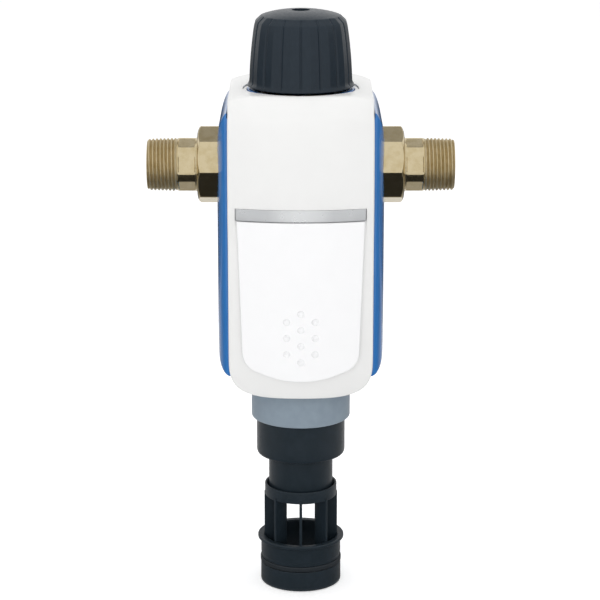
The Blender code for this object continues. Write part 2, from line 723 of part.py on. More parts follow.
def cover_outline():
    """Front view of the cover: straight sides, and a bottom with large soft corners."""
    centre = (0.0, COVER_BOTTOM + COVER_CORNER_RISE)
    corner = arc(centre, COVER_HALF_WIDTH, -COVER_CORNER_RISE, 0.0, 90.0, 12,
                 COVER_CORNER_POWER)
    half = [(COVER_HALF_WIDTH, COVER_TOP + 20.0)] + corner[:-1]
    return mirrored(half)


def housing_plan(inset, half_width, front):
    """Half of the housing seen from above, from its front to its flat back wall."""
    rear = SHELL_REAR - inset
    across = SHELL_HALF_WIDTH - SHELL_REAR_FLAT - inset
    deep = SHELL_REAR_CORNER - inset
    centre = (SHELL_REAR_FLAT, rear - deep)
    corner = [point for point in arc(centre, across, deep, 0.0, 90.0, 8)
              if point[0] < half_width]
    meet = math.sqrt(max(1.0 - ((half_width - SHELL_REAR_FLAT) / across) ** 2, 0.0))
    return [(half_width, front), (half_width, centre[1] + deep * meet)] + corner


def cover_solid(name, inset):
    """The whole room under the cover's outer faces, or the hollow inside its wall."""
    path = cover_front_path()
    if inset:
        path = offset_path(path, -inset)
    low = COVER_BOTTOM - 30.0 - 4.0 * inset
    section = path + [(path[-1][0], low), (REACH / 2.0, low), (REACH / 2.0, path[0][1])]
    wide = COVER_HALF_WIDTH + 1.0
    solid = bowed(prism(name, section, -wide, wide, "YZ"), wide, 12, fall=COVER_CROWN)
    plan = housing_plan(inset, COVER_HALF_WIDTH - inset, -REACH / 2.0)
    return keep_inside(solid, prism(name + "_plan", mirrored(plan), -REACH, REACH, "XY"))


def make_cover():
    """White front cover: front and top in one, with a skirt, a knob well and screw pillars."""
    cover = cover_solid("front_cover", 0.0)
    cut(cover, cover_solid("cover_hollow", COVER_WALL),
        block("cover_back", (-REACH, COVER_RETURN, -REACH), (REACH, REACH, COVER_SKIRT_BOTTOM)))
    keep_inside(cover, prism("cover_outline", cover_outline(), -REACH, REACH, "XZ"))
    well = rod("knob_well", WELL_RADIUS + WELL_WALL, WELL_FLOOR - WELL_FLOOR_THICKNESS,
               COVER_TOP - 1.0, steps=FINE)
    well.data.transform(Matrix.Translation(well.location))
    well.location = (0.0, 0.0, 0.0)
    join(cover, bowed(well, WELL_RADIUS + WELL_WALL, 10, 0.0, COVER_CROWN))
    cut(cover, rod("knob_hole", WELL_RADIUS, WELL_FLOOR, REACH, steps=FINE),
        rod("knob_eye", WELL_EYE_RADIUS, 0.0, WELL_FLOOR + 1.0, steps=FINE))
    add_pillars(cover)
    cut_slider_way(cover)
    return dress(cover, "white_plastic")


def boss_places():
    """The four screw places as (label, x, z)."""
    return [("1", -BOSS_X, BOSS_TOP_Z), ("2", BOSS_X, BOSS_TOP_Z),
            ("3", -BOSS_X, BOSS_BOTTOM_Z), ("4", BOSS_X, BOSS_BOTTOM_Z)]


def add_pillars(cover):
    """Long pillars from the front wall to the bosses of the side shells."""
    start = -STEPPED_FRONT + COVER_BOW * (BOSS_X / COVER_HALF_WIDTH) ** 2 + PILLAR_ROOT
    for label, across, height in boss_places():
        join(cover, rod("pillar_" + label, PILLAR_RADIUS, start, BOSS_FACE - SEAT,
                        axis="Y", at=(across, height), steps=SMALL))
        cut(cover, rod("pillar_hole_" + label, SCREW_RADIUS + SEAT,
                       BOSS_FACE - SCREW_REACH, BOSS_FACE + 5.0,
                       axis="Y", at=(across, height), steps=12))


def cut_slider_way(cover):
    """Seat of the trim strip, room for the slider in front, and the window behind it."""
    strip_back = -COVER_FRONT + STRIP_THICKNESS + SEAT
    slide_back = -STEPPED_FRONT - SLIDER_SEAT
    low = COVER_BOTTOM - 40.0
    half = STRIP_HALF_WIDTH + SEAT
    section = [(-REACH / 2.0, STRIP_TOP + SEAT), (strip_back, STRIP_TOP + SEAT),
               (strip_back, STRIP_BOTTOM - SEAT / 2.0), (slide_back, STRIP_BOTTOM - SEAT / 2.0),
               (slide_back, low), (-REACH / 2.0, low)]
    cut(cover, bowed(prism("slider_way", section, -half, half, "YZ"), half, 8))
    cut(cover, block("window", (-WINDOW_HALF_WIDTH, -REACH / 2.0, WINDOW_BOTTOM),
                     (WINDOW_HALF_WIDTH, -COVER_FRONT / 2.0, WINDOW_TOP)))


def make_trim_strip():
    """Silver strip between the cover's upper face and the slider."""
    section = [(-COVER_FRONT, STRIP_TOP), (-COVER_FRONT + STRIP_THICKNESS, STRIP_TOP),
               (-COVER_FRONT + STRIP_THICKNESS, STRIP_BOTTOM), (-COVER_FRONT, STRIP_BOTTOM)]
    strip = prism("trim_strip", section, -STRIP_HALF_WIDTH, STRIP_HALF_WIDTH, "YZ")
    return dress(bowed(strip, STRIP_HALF_WIDTH, 8), "silver_trim")


def slider_outline():
    """Front view of the slider: it narrows downwards to two round corners."""
    turn = SLIDER_BOTTOM + SLIDER_BASE_SAG + SLIDER_CORNER
    corner = arc((SLIDER_LOW_HALF - SLIDER_CORNER, turn), SLIDER_CORNER, -SLIDER_CORNER,
                 0.0, 75.0, 6)
    return mirrored([(SLIDER_TOP_HALF, SLIDER_TOP + 10.0), (SLIDER_TOP_HALF, SLIDER_TOP)]
                    + corner + [(SLIDER_CORNER / 2.0, SLIDER_BOTTOM + 0.4)])


def make_slider():
    """Inspection slider: a bowed plate with grip dimples and two hooks behind it."""
    back = SLIDER_BACK
    low_front = -COVER_FRONT - SLIDER_FLARE
    section = [(-COVER_FRONT, SLIDER_TOP), (back, SLIDER_TOP), (back, SLIDER_BOTTOM - SLIDER_LIP),
               (low_front, SLIDER_BOTTOM - SLIDER_LIP)]
    slider = prism("inspection_slider", section, -SLIDER_TOP_HALF, SLIDER_TOP_HALF, "YZ")
    bowed(slider, SLIDER_TOP_HALF, 8)
    keep_inside(slider, prism("slider_outline", slider_outline(), -REACH, REACH, "XZ"))
    for side, label in ((-1, "left"), (1, "right")):
        add_hook(slider, side, label, back)
    for index, (across, height) in enumerate(dimple_places()):
        share = (across / COVER_HALF_WIDTH) ** 2
        slope = (height - SLIDER_TOP) / (SLIDER_BOTTOM - SLIDER_LIP - SLIDER_TOP)
        face = -COVER_FRONT - SLIDER_FLARE * slope + COVER_BOW * share
        cut(slider, rod("dimple_%d" % (index + 1), DIMPLE_RADIUS, face - OVERSHOOT,
                        face + DIMPLE_DEPTH, axis="Y", at=(across, height), steps=8))
    return dress(slider, "white_plastic")


def add_hook(slider, side, label, back):
    """Hook through the window: a neck, and a flange behind the cover's wall."""
    edge = WINDOW_HALF_WIDTH - SEAT
    sag = COVER_BOW * (WINDOW_HALF_WIDTH / COVER_HALF_WIDTH) ** 2
    wall_back = -STEPPED_FRONT + COVER_WALL + sag + SEAT
    low = WINDOW_TOP - HOOK_START - HOOK_HEIGHT
    neck = sorted((side * (edge - HOOK_NECK), side * edge))
    flange = sorted((side * (edge - HOOK_NECK / 2.0), side * (edge + HOOK_FLANGE)))
    join(slider, block("hook_neck_" + label, (neck[0], back - 0.5, low),
                       (neck[1], wall_back + SEAT + HOOK_PLATE, low + HOOK_HEIGHT)))
    join(slider, block("hook_flange_" + label,
                       (flange[0], wall_back + SEAT, low + HOOK_TAPER),
                       (flange[1], wall_back + SEAT + HOOK_PLATE - WRENCH_EDGE,
                        low + HOOK_HEIGHT - HOOK_TAPER)))


def dimple_places():
    """Ten grip dimples: four down the middle and three on each side."""
    middle = [(0.0, DIMPLE_TOP_Z - 2.0 * DIMPLE_STEP_Z * row) for row in range(4)]
    beside = [(side * DIMPLE_STEP_X, DIMPLE_TOP_Z - DIMPLE_STEP_Z * (2.0 * row + 1.0))
              for side in (-1, 1) for row in range(3)]
    return middle + beside


def shell_plan(inset):
    """Side shell from above, as a solid when inset is nothing, as its hollow otherwise."""
    wide = SHELL_HALF_WIDTH - inset
    front = COVER_RETURN + SEAT + inset
    across = SHELL_HALF_WIDTH - COVER_HALF_WIDTH - inset
    centre = (COVER_HALF_WIDTH, front + SHELL_FRONT_CORNER - inset)
    corner = arc(centre, across, -(SHELL_FRONT_CORNER - inset), 90.0, 0.0, 6)
    seam = SEAT / 2.0 if inset == 0.0 else -10.0
    lead = [(seam, front)]
    if inset:
        lip = COVER_HALF_WIDTH - SHELL_LIP
        lead = [(seam, -REACH / 2.0), (lip, -REACH / 2.0), (lip, front)]
    back = housing_plan(inset, wide, centre[1])[1:]
    return lead + corner + back + [(seam, SHELL_REAR - inset)]


def shell_front(inset):
    """Side shell from the front: shoulder, straight side, round lower edge."""
    wide = SHELL_HALF_WIDTH - inset
    edge = COVER_HALF_WIDTH + SEAT
    top = SHELL_SHOULDER_TOP - inset
    foot = SHELL_SHOULDER_TOP - SHELL_SHOULDER_DROP
    shoulder = arc((edge, foot), wide - edge, top - foot, 90.0, 0.0, 6, SHELL_SHOULDER_POWER)
    radius = SHELL_BOTTOM_CORNER - inset
    corner = arc((wide - radius, SHELL_BOTTOM + SHELL_BOTTOM_CORNER), radius, -radius,
                 0.0, 90.0, 4)
    seam = -20.0
    return [(seam, top)] + shoulder + corner + [(seam, SHELL_BOTTOM + inset)]


def make_shell(side, label):
    """Blue side shell, with a cup around the union nut and two screw bosses."""
    shell = prism("side_shell_" + label, sided(shell_plan(0.0), side), -REACH, REACH, "XY")
    keep_inside(shell, prism("shell_front_" + label, sided(shell_front(0.0), side),
                             -REACH, REACH, "XZ"))
    hollow = prism("shell_hollow_" + label, sided(shell_plan(SHELL_WALL), side),
                   -REACH, REACH, "XY")
    keep_inside(hollow, prism("shell_inside_" + label, sided(shell_front(SHELL_WALL), side),
                              -REACH, REACH, "XZ"))
    floor = SHELL_HALF_WIDTH - SHELL_CUP_DEPTH
    ends = sorted((side * floor, side * REACH))
    cut(hollow, rod("nut_cup_" + label, CUP_RADIUS + SHELL_CUP_WALL, *ends, axis="X", steps=FINE))
    places = [place for place in boss_places() if place[1] * side > 0.0]
    for number, across, height in places:
        cut(hollow, rod("boss_" + number, BOSS_RADIUS, BOSS_FACE, REACH, axis="Y",
                        at=(across, height), steps=SMALL))
    edge = COVER_HALF_WIDTH + SEAT
    cut(shell, hollow, block("shell_top_" + label, (-edge, -REACH, COVER_SKIRT_BOTTOM - SEAT),
                             (edge, REACH, REACH)))
    cut_shell_holes(shell, side, label, floor)
    for number, across, height in places:
        place = {"axis": "Y", "at": (across, height)}
        cut(shell, rod("screw_way_" + number, SCREW_RADIUS + SEAT, BOSS_FACE - 5.0,
                       SCREW_HEAD_SEAT + 2.0, steps=12, **place),
            rod("counterbore_" + number, SCREW_HEAD_RADIUS + SEAT, SCREW_HEAD_SEAT,
                REACH, steps=SMALL, **place))
    return dress(shell, "blue_plastic")


def cut_shell_holes(shell, side, label, cup_floor):
    """Room for the union nut, the hole that sits on the head's spigot, the hole for the bowl."""
    room = sorted((side * (NUT_START - SEAT), side * REACH))
    eye = sorted((side * (cup_floor - 5.0), side * (NUT_START + 1.0)))
    cut(shell, rod("nut_room_" + label, CUP_RADIUS, *room, axis="X", steps=FINE),
        rod("spigot_eye_" + label, UNION_RADIUS, *eye, axis="X", steps=FINE),
        rod("bowl_hole_" + label, COLLAR_RADIUS + SHELL_FOOT_GAP, SHELL_BOTTOM - 5.0,
            SHELL_BOTTOM + SHELL_WALL + 2.0, steps=FINE))


def make_cover_screws():
    """Four pan-head screws, sunk in the back of the side shells."""
    for label, across, height in boss_places():
        head = SCREW_HEAD_SEAT + SEAT
        screw = turned("cover_screw_" + label, [
            (0.0, head + SCREW_HEAD_HEIGHT), (SCREW_HEAD_RADIUS - 0.8, head + SCREW_HEAD_HEIGHT),
            (SCREW_HEAD_RADIUS, head + SCREW_HEAD_HEIGHT - 0.9), (SCREW_HEAD_RADIUS, head),
            (SCREW_RADIUS, head), (SCREW_RADIUS, BOSS_FACE - SCREW_REACH + 2.0),
            (0.0, BOSS_FACE - SCREW_REACH + 1.0)], 12)
        screw.rotation_euler = (-math.pi / 2.0, 0.0, 0.0)
        screw.location = (across * MM, 0.0, height * MM)
        slot = block("slot_" + label, (-0.5, -SCREW_HEAD_RADIUS - 1.0, head + 1.3),
                     (0.5, SCREW_HEAD_RADIUS + 1.0, head + SCREW_HEAD_HEIGHT + 1.0))
        slot.rotation_euler = screw.rotation_euler
        slot.location = screw.location
        cut(screw, slot)
        dress(screw, "steel")


def make_rings():
    """White reminder ring in the well, and the blue ring that the handwheel turns over."""
    floor = WELL_FLOOR + SEAT
    ring = tube("interval_ring", WELL_RADIUS - SEAT, INTERVAL_RING_INNER, INTERVAL_RING_TOP,
                floor)
    dress(ring, "white_plastic")
    base = tube("base_ring", INTERVAL_RING_INNER - SEAT, BASE_RING_INNER,
                KNOB_BASE - KNOB_GAP, floor)
    dress(base, "blue_plastic")


def knob_profile():
    """Half section of the handwheel: domed top, grip, hollow, hub and web."""
    web_bottom = KNOB_TOP - KNOB_RECESS_DEPTH - KNOB_WEB
    rim_radius, rim = KNOB_SIDE[0]
    base_radius = KNOB_SIDE[-1][0]
    ceiling = rim - 1.4
    lift = KNOB_TOP - rim
    thick = KNOB_WALL + KNOB_FLUTE_DEPTH
    return [
        (KNOB_RECESS_RADIUS, KNOB_TOP), (rim_radius * 0.6, KNOB_TOP - lift * 0.2),
        (rim_radius * 0.93, KNOB_TOP - lift * 0.64),
        *KNOB_SIDE, (base_radius, KNOB_BASE), (base_radius - thick, KNOB_BASE),
        (rim_radius - thick, ceiling), (KNOB_HUB_RADIUS, ceiling),
        (KNOB_HUB_RADIUS, KNOB_HUB_BOTTOM), (SPINDLE_RADIUS + SEAT, KNOB_HUB_BOTTOM),
        (SPINDLE_RADIUS + SEAT, web_bottom), (KNOB_SCREW_RADIUS + SEAT, web_bottom),
        (KNOB_SCREW_RADIUS + SEAT, KNOB_TOP - KNOB_RECESS_DEPTH),
        (KNOB_RECESS_RADIUS, KNOB_TOP - KNOB_RECESS_DEPTH)]


def make_knob():
    """Handwheel: turned, then fluted by drawing every third column of its grip inwards."""
    knob = turned("handwheel", knob_profile(), KNOB_FLUTES * 3)
    bpy.context.view_layer.update()
    graph = bpy.context.evaluated_depsgraph_get()
    mesh = bpy.data.meshes.new_from_object(knob.evaluated_get(graph))
    knob.modifiers.clear()
    knob.data = mesh
    pitch = 2.0 * math.pi / KNOB_FLUTES
    for vertex in mesh.vertices:
        radius = math.hypot(vertex.co.x, vertex.co.y)
        on_grip = radius > (KNOB_SIDE[0][0] - 0.5) * MM and vertex.co.z > (KNOB_BASE + 1.0) * MM
        off = math.remainder(math.atan2(vertex.co.y, vertex.co.x), pitch)
        if on_grip and abs(off) < pitch / 6.0:
            factor = 1.0 - KNOB_FLUTE_DEPTH * MM / radius
            vertex.co.x *= factor
            vertex.co.y *= factor
    return dress(knob, "black_plastic")


def make_knob_screw():
    """Screw through the handwheel's web into the spindle."""
    floor = KNOB_TOP - KNOB_RECESS_DEPTH + SEAT
    head = KNOB_RECESS_RADIUS - 0.6
    screw = turned("handwheel_screw", [
        (0.0, floor + KNOB_SCREW_HEAD - 1.2), (1.6, floor + KNOB_SCREW_HEAD - 1.2),
        (1.6, floor + KNOB_SCREW_HEAD - 0.6), (head - 0.4, floor + KNOB_SCREW_HEAD - 0.6),
        (head, floor + 1.5), (head, floor), (KNOB_SCREW_RADIUS, floor),
        (KNOB_SCREW_RADIUS, SPINDLE_TOP - KNOB_SCREW_REACH + 1.0),
        (0.0, SPINDLE_TOP - KNOB_SCREW_REACH)], SMALL)
    dress(screw, "steel")


def make_spindle():
    """Spindle from the handwheel down to the suction rotor."""
    collar_top = CHAMBER_TOP - SEAT
    bottom = ROTOR_TOP - ROTOR_CUP_DEPTH + SEAT
    hole = KNOB_SCREW_RADIUS + SEAT
    spindle = turned("spindle", [
        (0.0, SPINDLE_TOP - KNOB_SCREW_REACH - 2.0), (hole, SPINDLE_TOP - KNOB_SCREW_REACH - 2.0),
        (hole, SPINDLE_TOP), (SPINDLE_RADIUS, SPINDLE_TOP),
        (SPINDLE_RADIUS, collar_top), (SPINDLE_COLLAR_RADIUS, collar_top),
        (SPINDLE_COLLAR_RADIUS, collar_top - SPINDLE_COLLAR_THICKNESS),
        (SPINDLE_RADIUS, collar_top - SPINDLE_COLLAR_THICKNESS),
        (SPINDLE_RADIUS, bottom), (0.0, bottom)], SMALL)
    dress(spindle, "steel")


def make_screen():
    """Filter element: a mesh sleeve between a top and a bottom frame."""
    sleeve = tube("filter_screen", SCREEN_RADIUS, SCREEN_RADIUS - SCREEN_WALL, SCREEN_TOP,
                  SCREEN_BOTTOM, COARSE)
    dress(sleeve, "steel")
    outer = SCREEN_SEAT_RADIUS + 1.2
    inside = SCREEN_RADIUS + SEAT
    lip = CHAMBER_RADIUS - 0.5
    top = turned("screen_frame_top", [
        (outer, SCREEN_SEAT_Z - SEAT), (outer, SCREEN_TOP - SCREEN_FRAME_OVERLAP),
        (inside, SCREEN_TOP - SCREEN_FRAME_OVERLAP), (inside, SCREEN_TOP + SEAT),
        (lip, SCREEN_TOP + SEAT), (lip, SCREEN_SEAT_Z - SEAT)], COARSE)
    dress(top, "black_plastic")
    foot = SCREEN_SPIGOT_TOP + SEAT
    bottom = turned("screen_frame_bottom", [
        (outer, SCREEN_BOTTOM + SCREEN_FRAME_OVERLAP), (outer, foot - 5.0),
        (SCREEN_SPIGOT_RADIUS + SEAT, foot - 5.0), (SCREEN_SPIGOT_RADIUS + SEAT, foot),
        (ROTOR_FOOT_RADIUS + 2.5, foot), (ROTOR_FOOT_RADIUS + 2.5, SCREEN_BOTTOM - SEAT),
        (inside, SCREEN_BOTTOM - SEAT), (inside, SCREEN_BOTTOM + SCREEN_FRAME_OVERLAP)], COARSE)
    dress(bottom, "black_plastic")


def make_rotor():
    """Suction rotor: a hollow stem with three cross tubes that end close to the screen."""
    foot_top = ROTOR_BOTTOM + ROTOR_FOOT_HEIGHT
    cup_floor = ROTOR_TOP - ROTOR_CUP_DEPTH
    socket = SPINDLE_RADIUS + SEAT
    rotor = turned("suction_rotor", [
        (0.0, cup_floor), (socket, cup_floor), (socket, ROTOR_TOP),
        (ROTOR_CUP_RADIUS, ROTOR_TOP), (ROTOR_CUP_RADIUS, cup_floor - 2.0),
        (ROTOR_RADIUS, cup_floor - 3.5), (ROTOR_RADIUS, foot_top),
        (ROTOR_FOOT_RADIUS, foot_top), (ROTOR_FOOT_RADIUS, ROTOR_BOTTOM), (0.0, ROTOR_BOTTOM)],
        20)
    reach = SCREEN_RADIUS - SCREEN_WALL - NOZZLE_GAP
    ways = [
        rod("stem_bore", ROTOR_BORE, ROTOR_BOTTOM - 5.0, ROTOR_BORE_TOP, steps=20),
        rod("stem_thread", PLUG_ROD_RADIUS + SEAT, ROTOR_BORE_TOP - 1.0, ROTOR_THREAD_TOP,
            steps=12)]
    for index, height in enumerate(NOZZLE_HEIGHTS):
        turn = math.radians(60.0 * index)
        arm = rod("nozzle_%d" % (index + 1), NOZZLE_RADIUS, -reach, reach, "X",
                  (0.0, height), 12)
        way = rod("nozzle_way_%d" % (index + 1), NOZZLE_BORE, -REACH / 2.0, REACH / 2.0, "X",
                  (0.0, height), 8)
        arm.rotation_euler.z = turn
        way.rotation_euler.z = turn
        join(rotor, arm)
        ways.append(way)
    cut(rotor, *ways)
    dress(rotor, "acetal")


def make_bowl():
    """Clear bowl, the seal in its flange, and the nut that holds it to the head."""
    top = HEAD_FLOOR - SEAT
    inner = BOWL_RADIUS - BOWL_WALL
    bowl = turned("bowl", [
        (BOWL_FLANGE_RADIUS, top), (BOWL_FLANGE_RADIUS, top - BOWL_FLANGE_THICKNESS),
        (BOWL_RADIUS, top - BOWL_FLANGE_THICKNESS), (BOWL_RADIUS, BOWL_BOTTOM),
        (inner, BOWL_BOTTOM), (inner, top)])
    dress(bowl, "clear_plastic")
    groove = BOWL_FLANGE_RADIUS - BOWL_SEAL_INSET
    seal = tube("bowl_seal", groove - SEAT, groove - BOWL_SEAL_WIDTH + SEAT,
                HEAD_FLOOR + BOWL_SEAL_HEIGHT - SEAT, HEAD_FLOOR + 0.05)
    dress(seal, "rubber")
    lip_top = BOWL_NUT_LIP_TOP
    low = lip_top - BOWL_NUT_LIP
    top = HEAD_FLOOR + HEAD_THREAD_HEIGHT - BOWL_NUT_CLEAR
    bore = HEAD_THREAD_RADIUS + SEAT
    nut = turned("bowl_nut", [
        (BOWL_NUT_RADIUS - BOWL_NUT_EDGE, top), (BOWL_NUT_RADIUS, top - BOWL_NUT_EDGE),
        (BOWL_NUT_RADIUS, low + BOWL_NUT_EDGE), (BOWL_NUT_RADIUS - BOWL_NUT_EDGE, low),
        (BOWL_RADIUS + SEAT, low), (BOWL_RADIUS + SEAT, lip_top), (bore, lip_top), (bore, top)])
    dress(nut, "black_plastic")


def make_collar():
    """Grey ring nut that clamps the valve housing to the foot of the bowl."""
    lip_top = COLLAR_BOTTOM + COLLAR_LIP
    bore = BOWL_RADIUS + SEAT
    collar = turned("collar_ring", [
        (COLLAR_RADIUS, COLLAR_BOTTOM + COLLAR_HEIGHT), (COLLAR_RADIUS, COLLAR_BOTTOM),
        (NECK_RADIUS + SEAT, COLLAR_BOTTOM), (NECK_RADIUS + SEAT, lip_top),
        (bore, lip_top), (bore, COLLAR_BOTTOM + COLLAR_HEIGHT)])
    dress(collar, "grey_plastic")


def make_valve_housing():
    """Flush valve housing: plug in the bowl, neck, valve seat and drain tube in one."""
    flange_top = BOWL_BOTTOM - SEAT
    flange_bottom = COLLAR_BOTTOM + COLLAR_LIP + SEAT
    plug = BOWL_RADIUS - BOWL_WALL - SEAT
    tube_bore = DRAIN_TUBE_RADIUS - DRAIN_TUBE_WALL
    rotor_bore = ROTOR_FOOT_RADIUS + SEAT
    seal_top = HOUSING_DECK - HOUSING_SEAL_LAND
    seal_low = seal_top - HOUSING_SEAL_HEIGHT
    seal_floor = plug - HOUSING_SEAL_DEPTH
    housing = turned("valve_housing", [
        (SCREEN_SPIGOT_RADIUS, SCREEN_SPIGOT_TOP), (SCREEN_SPIGOT_RADIUS, HOUSING_DECK),
        (plug, HOUSING_DECK), (plug, seal_top), (seal_floor, seal_top), (seal_floor, seal_low),
        (plug, seal_low), (plug, flange_top), (BOWL_RADIUS, flange_top),
        (BOWL_RADIUS, flange_bottom), (NECK_RADIUS, flange_bottom),
        (NECK_RADIUS, NECK_BOTTOM + NECK_CHAMFER * 2.5),
        (NECK_RADIUS - NECK_CHAMFER, NECK_BOTTOM), (DRAIN_TUBE_RADIUS, NECK_BOTTOM),
        (DRAIN_TUBE_RADIUS, DRAIN_TUBE_BOTTOM), (tube_bore, DRAIN_TUBE_BOTTOM),
        (tube_bore, VALVE_SEAT_Z), (VALVE_SEAT_BORE, VALVE_SEAT_Z),
        (VALVE_SEAT_BORE, ROTOR_BOTTOM - 2.0), (rotor_bore, ROTOR_BOTTOM - SEAT),
        (rotor_bore, SCREEN_SPIGOT_TOP)])
    dress(housing, "black_plastic")
    seal = tube("valve_housing_seal", plug, seal_floor + SEAT, seal_top - SEAT,
                seal_low + SEAT, COARSE)
    dress(seal, "rubber")


def make_valve_plug():
    """Valve plug with its long rod; it moves down from the seat to open the drain."""
    top = VALVE_SEAT_Z - SEAT
    disc_top = top - VALVE_SEAL_THICKNESS - SEAT
    plug = turned("valve_plug", [
        (0.0, PLUG_ROD_TOP), (PLUG_ROD_RADIUS, PLUG_ROD_TOP - 1.0),
        (PLUG_ROD_RADIUS, disc_top + PLUG_HUB_HEIGHT + 1.0),
        (PLUG_HUB_RADIUS, disc_top + PLUG_HUB_HEIGHT),
        (PLUG_HUB_RADIUS, disc_top), (PLUG_RADIUS, disc_top),
        (PLUG_RADIUS, disc_top - PLUG_THICKNESS),
        (0.0, disc_top - PLUG_THICKNESS)], 20)
    dress(plug, "acetal")
    seal = tube("valve_seal", PLUG_RADIUS, PLUG_HUB_RADIUS + SEAT, top, top - VALVE_SEAL_THICKNESS, 20)
    dress(seal, "rubber")


def make_drain_cage():
    """Drain cage: ring on the drain tube, radial fins with an air gap, flange and spigot."""
    bore = SPIGOT_RADIUS - SPIGOT_WALL
    ring_bottom = CAGE_TOP - CAGE_RING_HEIGHT
    lip_top = DRAIN_TUBE_BOTTOM - SEAT
    groove_low = SPIGOT_GROOVE_Z - SPIGOT_GROOVE_HEIGHT
    cage = turned("drain_cage", [
        (CAGE_FLANGE_RADIUS, CAGE_FLANGE_Z),
        (CAGE_FLANGE_RADIUS, CAGE_FLANGE_Z - CAGE_FLANGE_THICKNESS),
        (SPIGOT_RADIUS, CAGE_FLANGE_Z - CAGE_FLANGE_THICKNESS), (SPIGOT_RADIUS, SPIGOT_GROOVE_Z),
        (SPIGOT_RADIUS - SPIGOT_GROOVE_DEPTH, SPIGOT_GROOVE_Z),
        (SPIGOT_RADIUS - SPIGOT_GROOVE_DEPTH, groove_low), (SPIGOT_RADIUS, groove_low),
        (SPIGOT_RADIUS, SPIGOT_BOTTOM), (bore, SPIGOT_BOTTOM), (bore, CAGE_FLANGE_Z)])
    ring = turned("cage_ring", [
        (CAGE_RADIUS, CAGE_TOP), (CAGE_RADIUS, ring_bottom),
        (CAGE_RADIUS - CAGE_LIP, ring_bottom), (CAGE_RADIUS - CAGE_LIP, lip_top),
        (DRAIN_TUBE_RADIUS + SEAT, lip_top), (DRAIN_TUBE_RADIUS + SEAT, CAGE_TOP - CAGE_MOUTH),
        (DRAIN_TUBE_RADIUS + CAGE_MOUTH, CAGE_TOP)])
    half = CAGE_FIN_THICKNESS / 2.0
    fins = []
    for index in range(CAGE_FINS):
        fin = block("fin_%d" % (index + 1),
                    (CAGE_FIN_INNER, -half, CAGE_FLANGE_Z - CAGE_FIN_ROOT),
                    (CAGE_FIN_OUTER, half, ring_bottom + CAGE_MOUTH))
        fin.rotation_euler = (0.0, 0.0, 2.0 * math.pi * index / CAGE_FINS)
        fins.append(fin)
    join(cage, ring, *fins)
    dress(cage, "black_plastic")
    seal = tube("spigot_seal", SPIGOT_RADIUS + SPIGOT_SEAL_PROUD,
                SPIGOT_RADIUS - SPIGOT_GROOVE_DEPTH + SEAT, SPIGOT_GROOVE_Z - SEAT,
                groove_low + SEAT)
    dress(seal, "rubber")


def build():
    """Makes every piece of the filter."""
    make_head()
    make_spindle_seals()
    for side, label in ((-1, "left"), (1, "right")):
        make_union(side, label)
        make_shell(side, label)
    make_cover()
    make_trim_strip()
    make_slider()
    make_cover_screws()
    make_rings()
    make_knob()
    make_knob_screw()
    make_spindle()
    make_screen()
    make_rotor()
    make_bowl()
    make_collar()
    make_valve_housing()
    make_valve_plug()
    make_drain_cage()


build()
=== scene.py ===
"""Looks of a self cleaning filter for a house water main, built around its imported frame.

The white cover and the blue shells hang on a brass head, with a fluted handwheel above and a
flush valve with its drain cage below. Sizes are in millimetres, in the frame's own axes: the
pipe runs along X, the cover faces -Y, and the handwheel stands on top, +Z.
"""

import json
import logging
import math
from collections.abc import Callable, Iterable, Mapping, Sequence
from dataclasses import dataclass
from enum import Enum
from functools import partial

import bmesh
import bpy
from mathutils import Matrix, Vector


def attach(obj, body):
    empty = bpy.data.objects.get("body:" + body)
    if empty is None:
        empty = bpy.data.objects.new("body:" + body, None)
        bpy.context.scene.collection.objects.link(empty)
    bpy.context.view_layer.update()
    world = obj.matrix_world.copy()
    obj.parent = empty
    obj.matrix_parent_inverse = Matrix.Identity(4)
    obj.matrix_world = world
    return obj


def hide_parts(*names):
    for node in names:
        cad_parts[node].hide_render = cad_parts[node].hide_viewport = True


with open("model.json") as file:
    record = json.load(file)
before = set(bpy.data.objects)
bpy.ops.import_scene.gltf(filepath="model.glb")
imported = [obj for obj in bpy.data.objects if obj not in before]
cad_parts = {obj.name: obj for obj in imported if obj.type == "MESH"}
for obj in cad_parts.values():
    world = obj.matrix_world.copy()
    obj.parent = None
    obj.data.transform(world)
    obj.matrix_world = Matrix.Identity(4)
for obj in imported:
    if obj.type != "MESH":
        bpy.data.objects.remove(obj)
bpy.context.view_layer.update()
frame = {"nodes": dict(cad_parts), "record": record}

Point = tuple[float, float, float]
Flat = tuple[float, float]
Corner = tuple[float, float, float]

MM = 0.001
QUARTER_TURN = math.pi / 2.0
SEAT = 0.3              # clearance between two pieces that touch
MERGE = 1e-7            # metres below which two points are one
OVERSHOOT = 5.0         # how far a cutter runs past what it cuts

log = logging.getLogger("self_cleaning_filter")


class Side(Enum):
    """The two sides of the pipe run."""

    LEFT = -1
    RIGHT = 1

    @property
    def label(self) -> str:
        """The side's name as the CAD nodes have it."""
        return self.name.lower()


class Axis(Enum):
    """The axis that a turned piece is turned about."""

    PIPE = "X"
    DEPTH = "Y"
    UPRIGHT = "Z"


class Cut(Enum):
    """What a helper shape does to the piece."""

    AWAY = "DIFFERENCE"
    JOIN = "UNION"


# Small shared tools


def linear(hex_colour: str) -> tuple[float, float, float, float]:
    """Turns an sRGB hex colour into linear values.

    Args:
        hex_colour: Six hex digits after a hash.

    Returns:
        Red, green, blue and an alpha of 1.
    """
    parts = [int(hex_colour[place:place + 2], 16) / 255.0 for place in (1, 3, 5)]
    red, green, blue = (part / 12.92 if part <= 0.04045 else ((part + 0.055) / 1.055) ** 2.4
                        for part in parts)
    return red, green, blue, 1.0


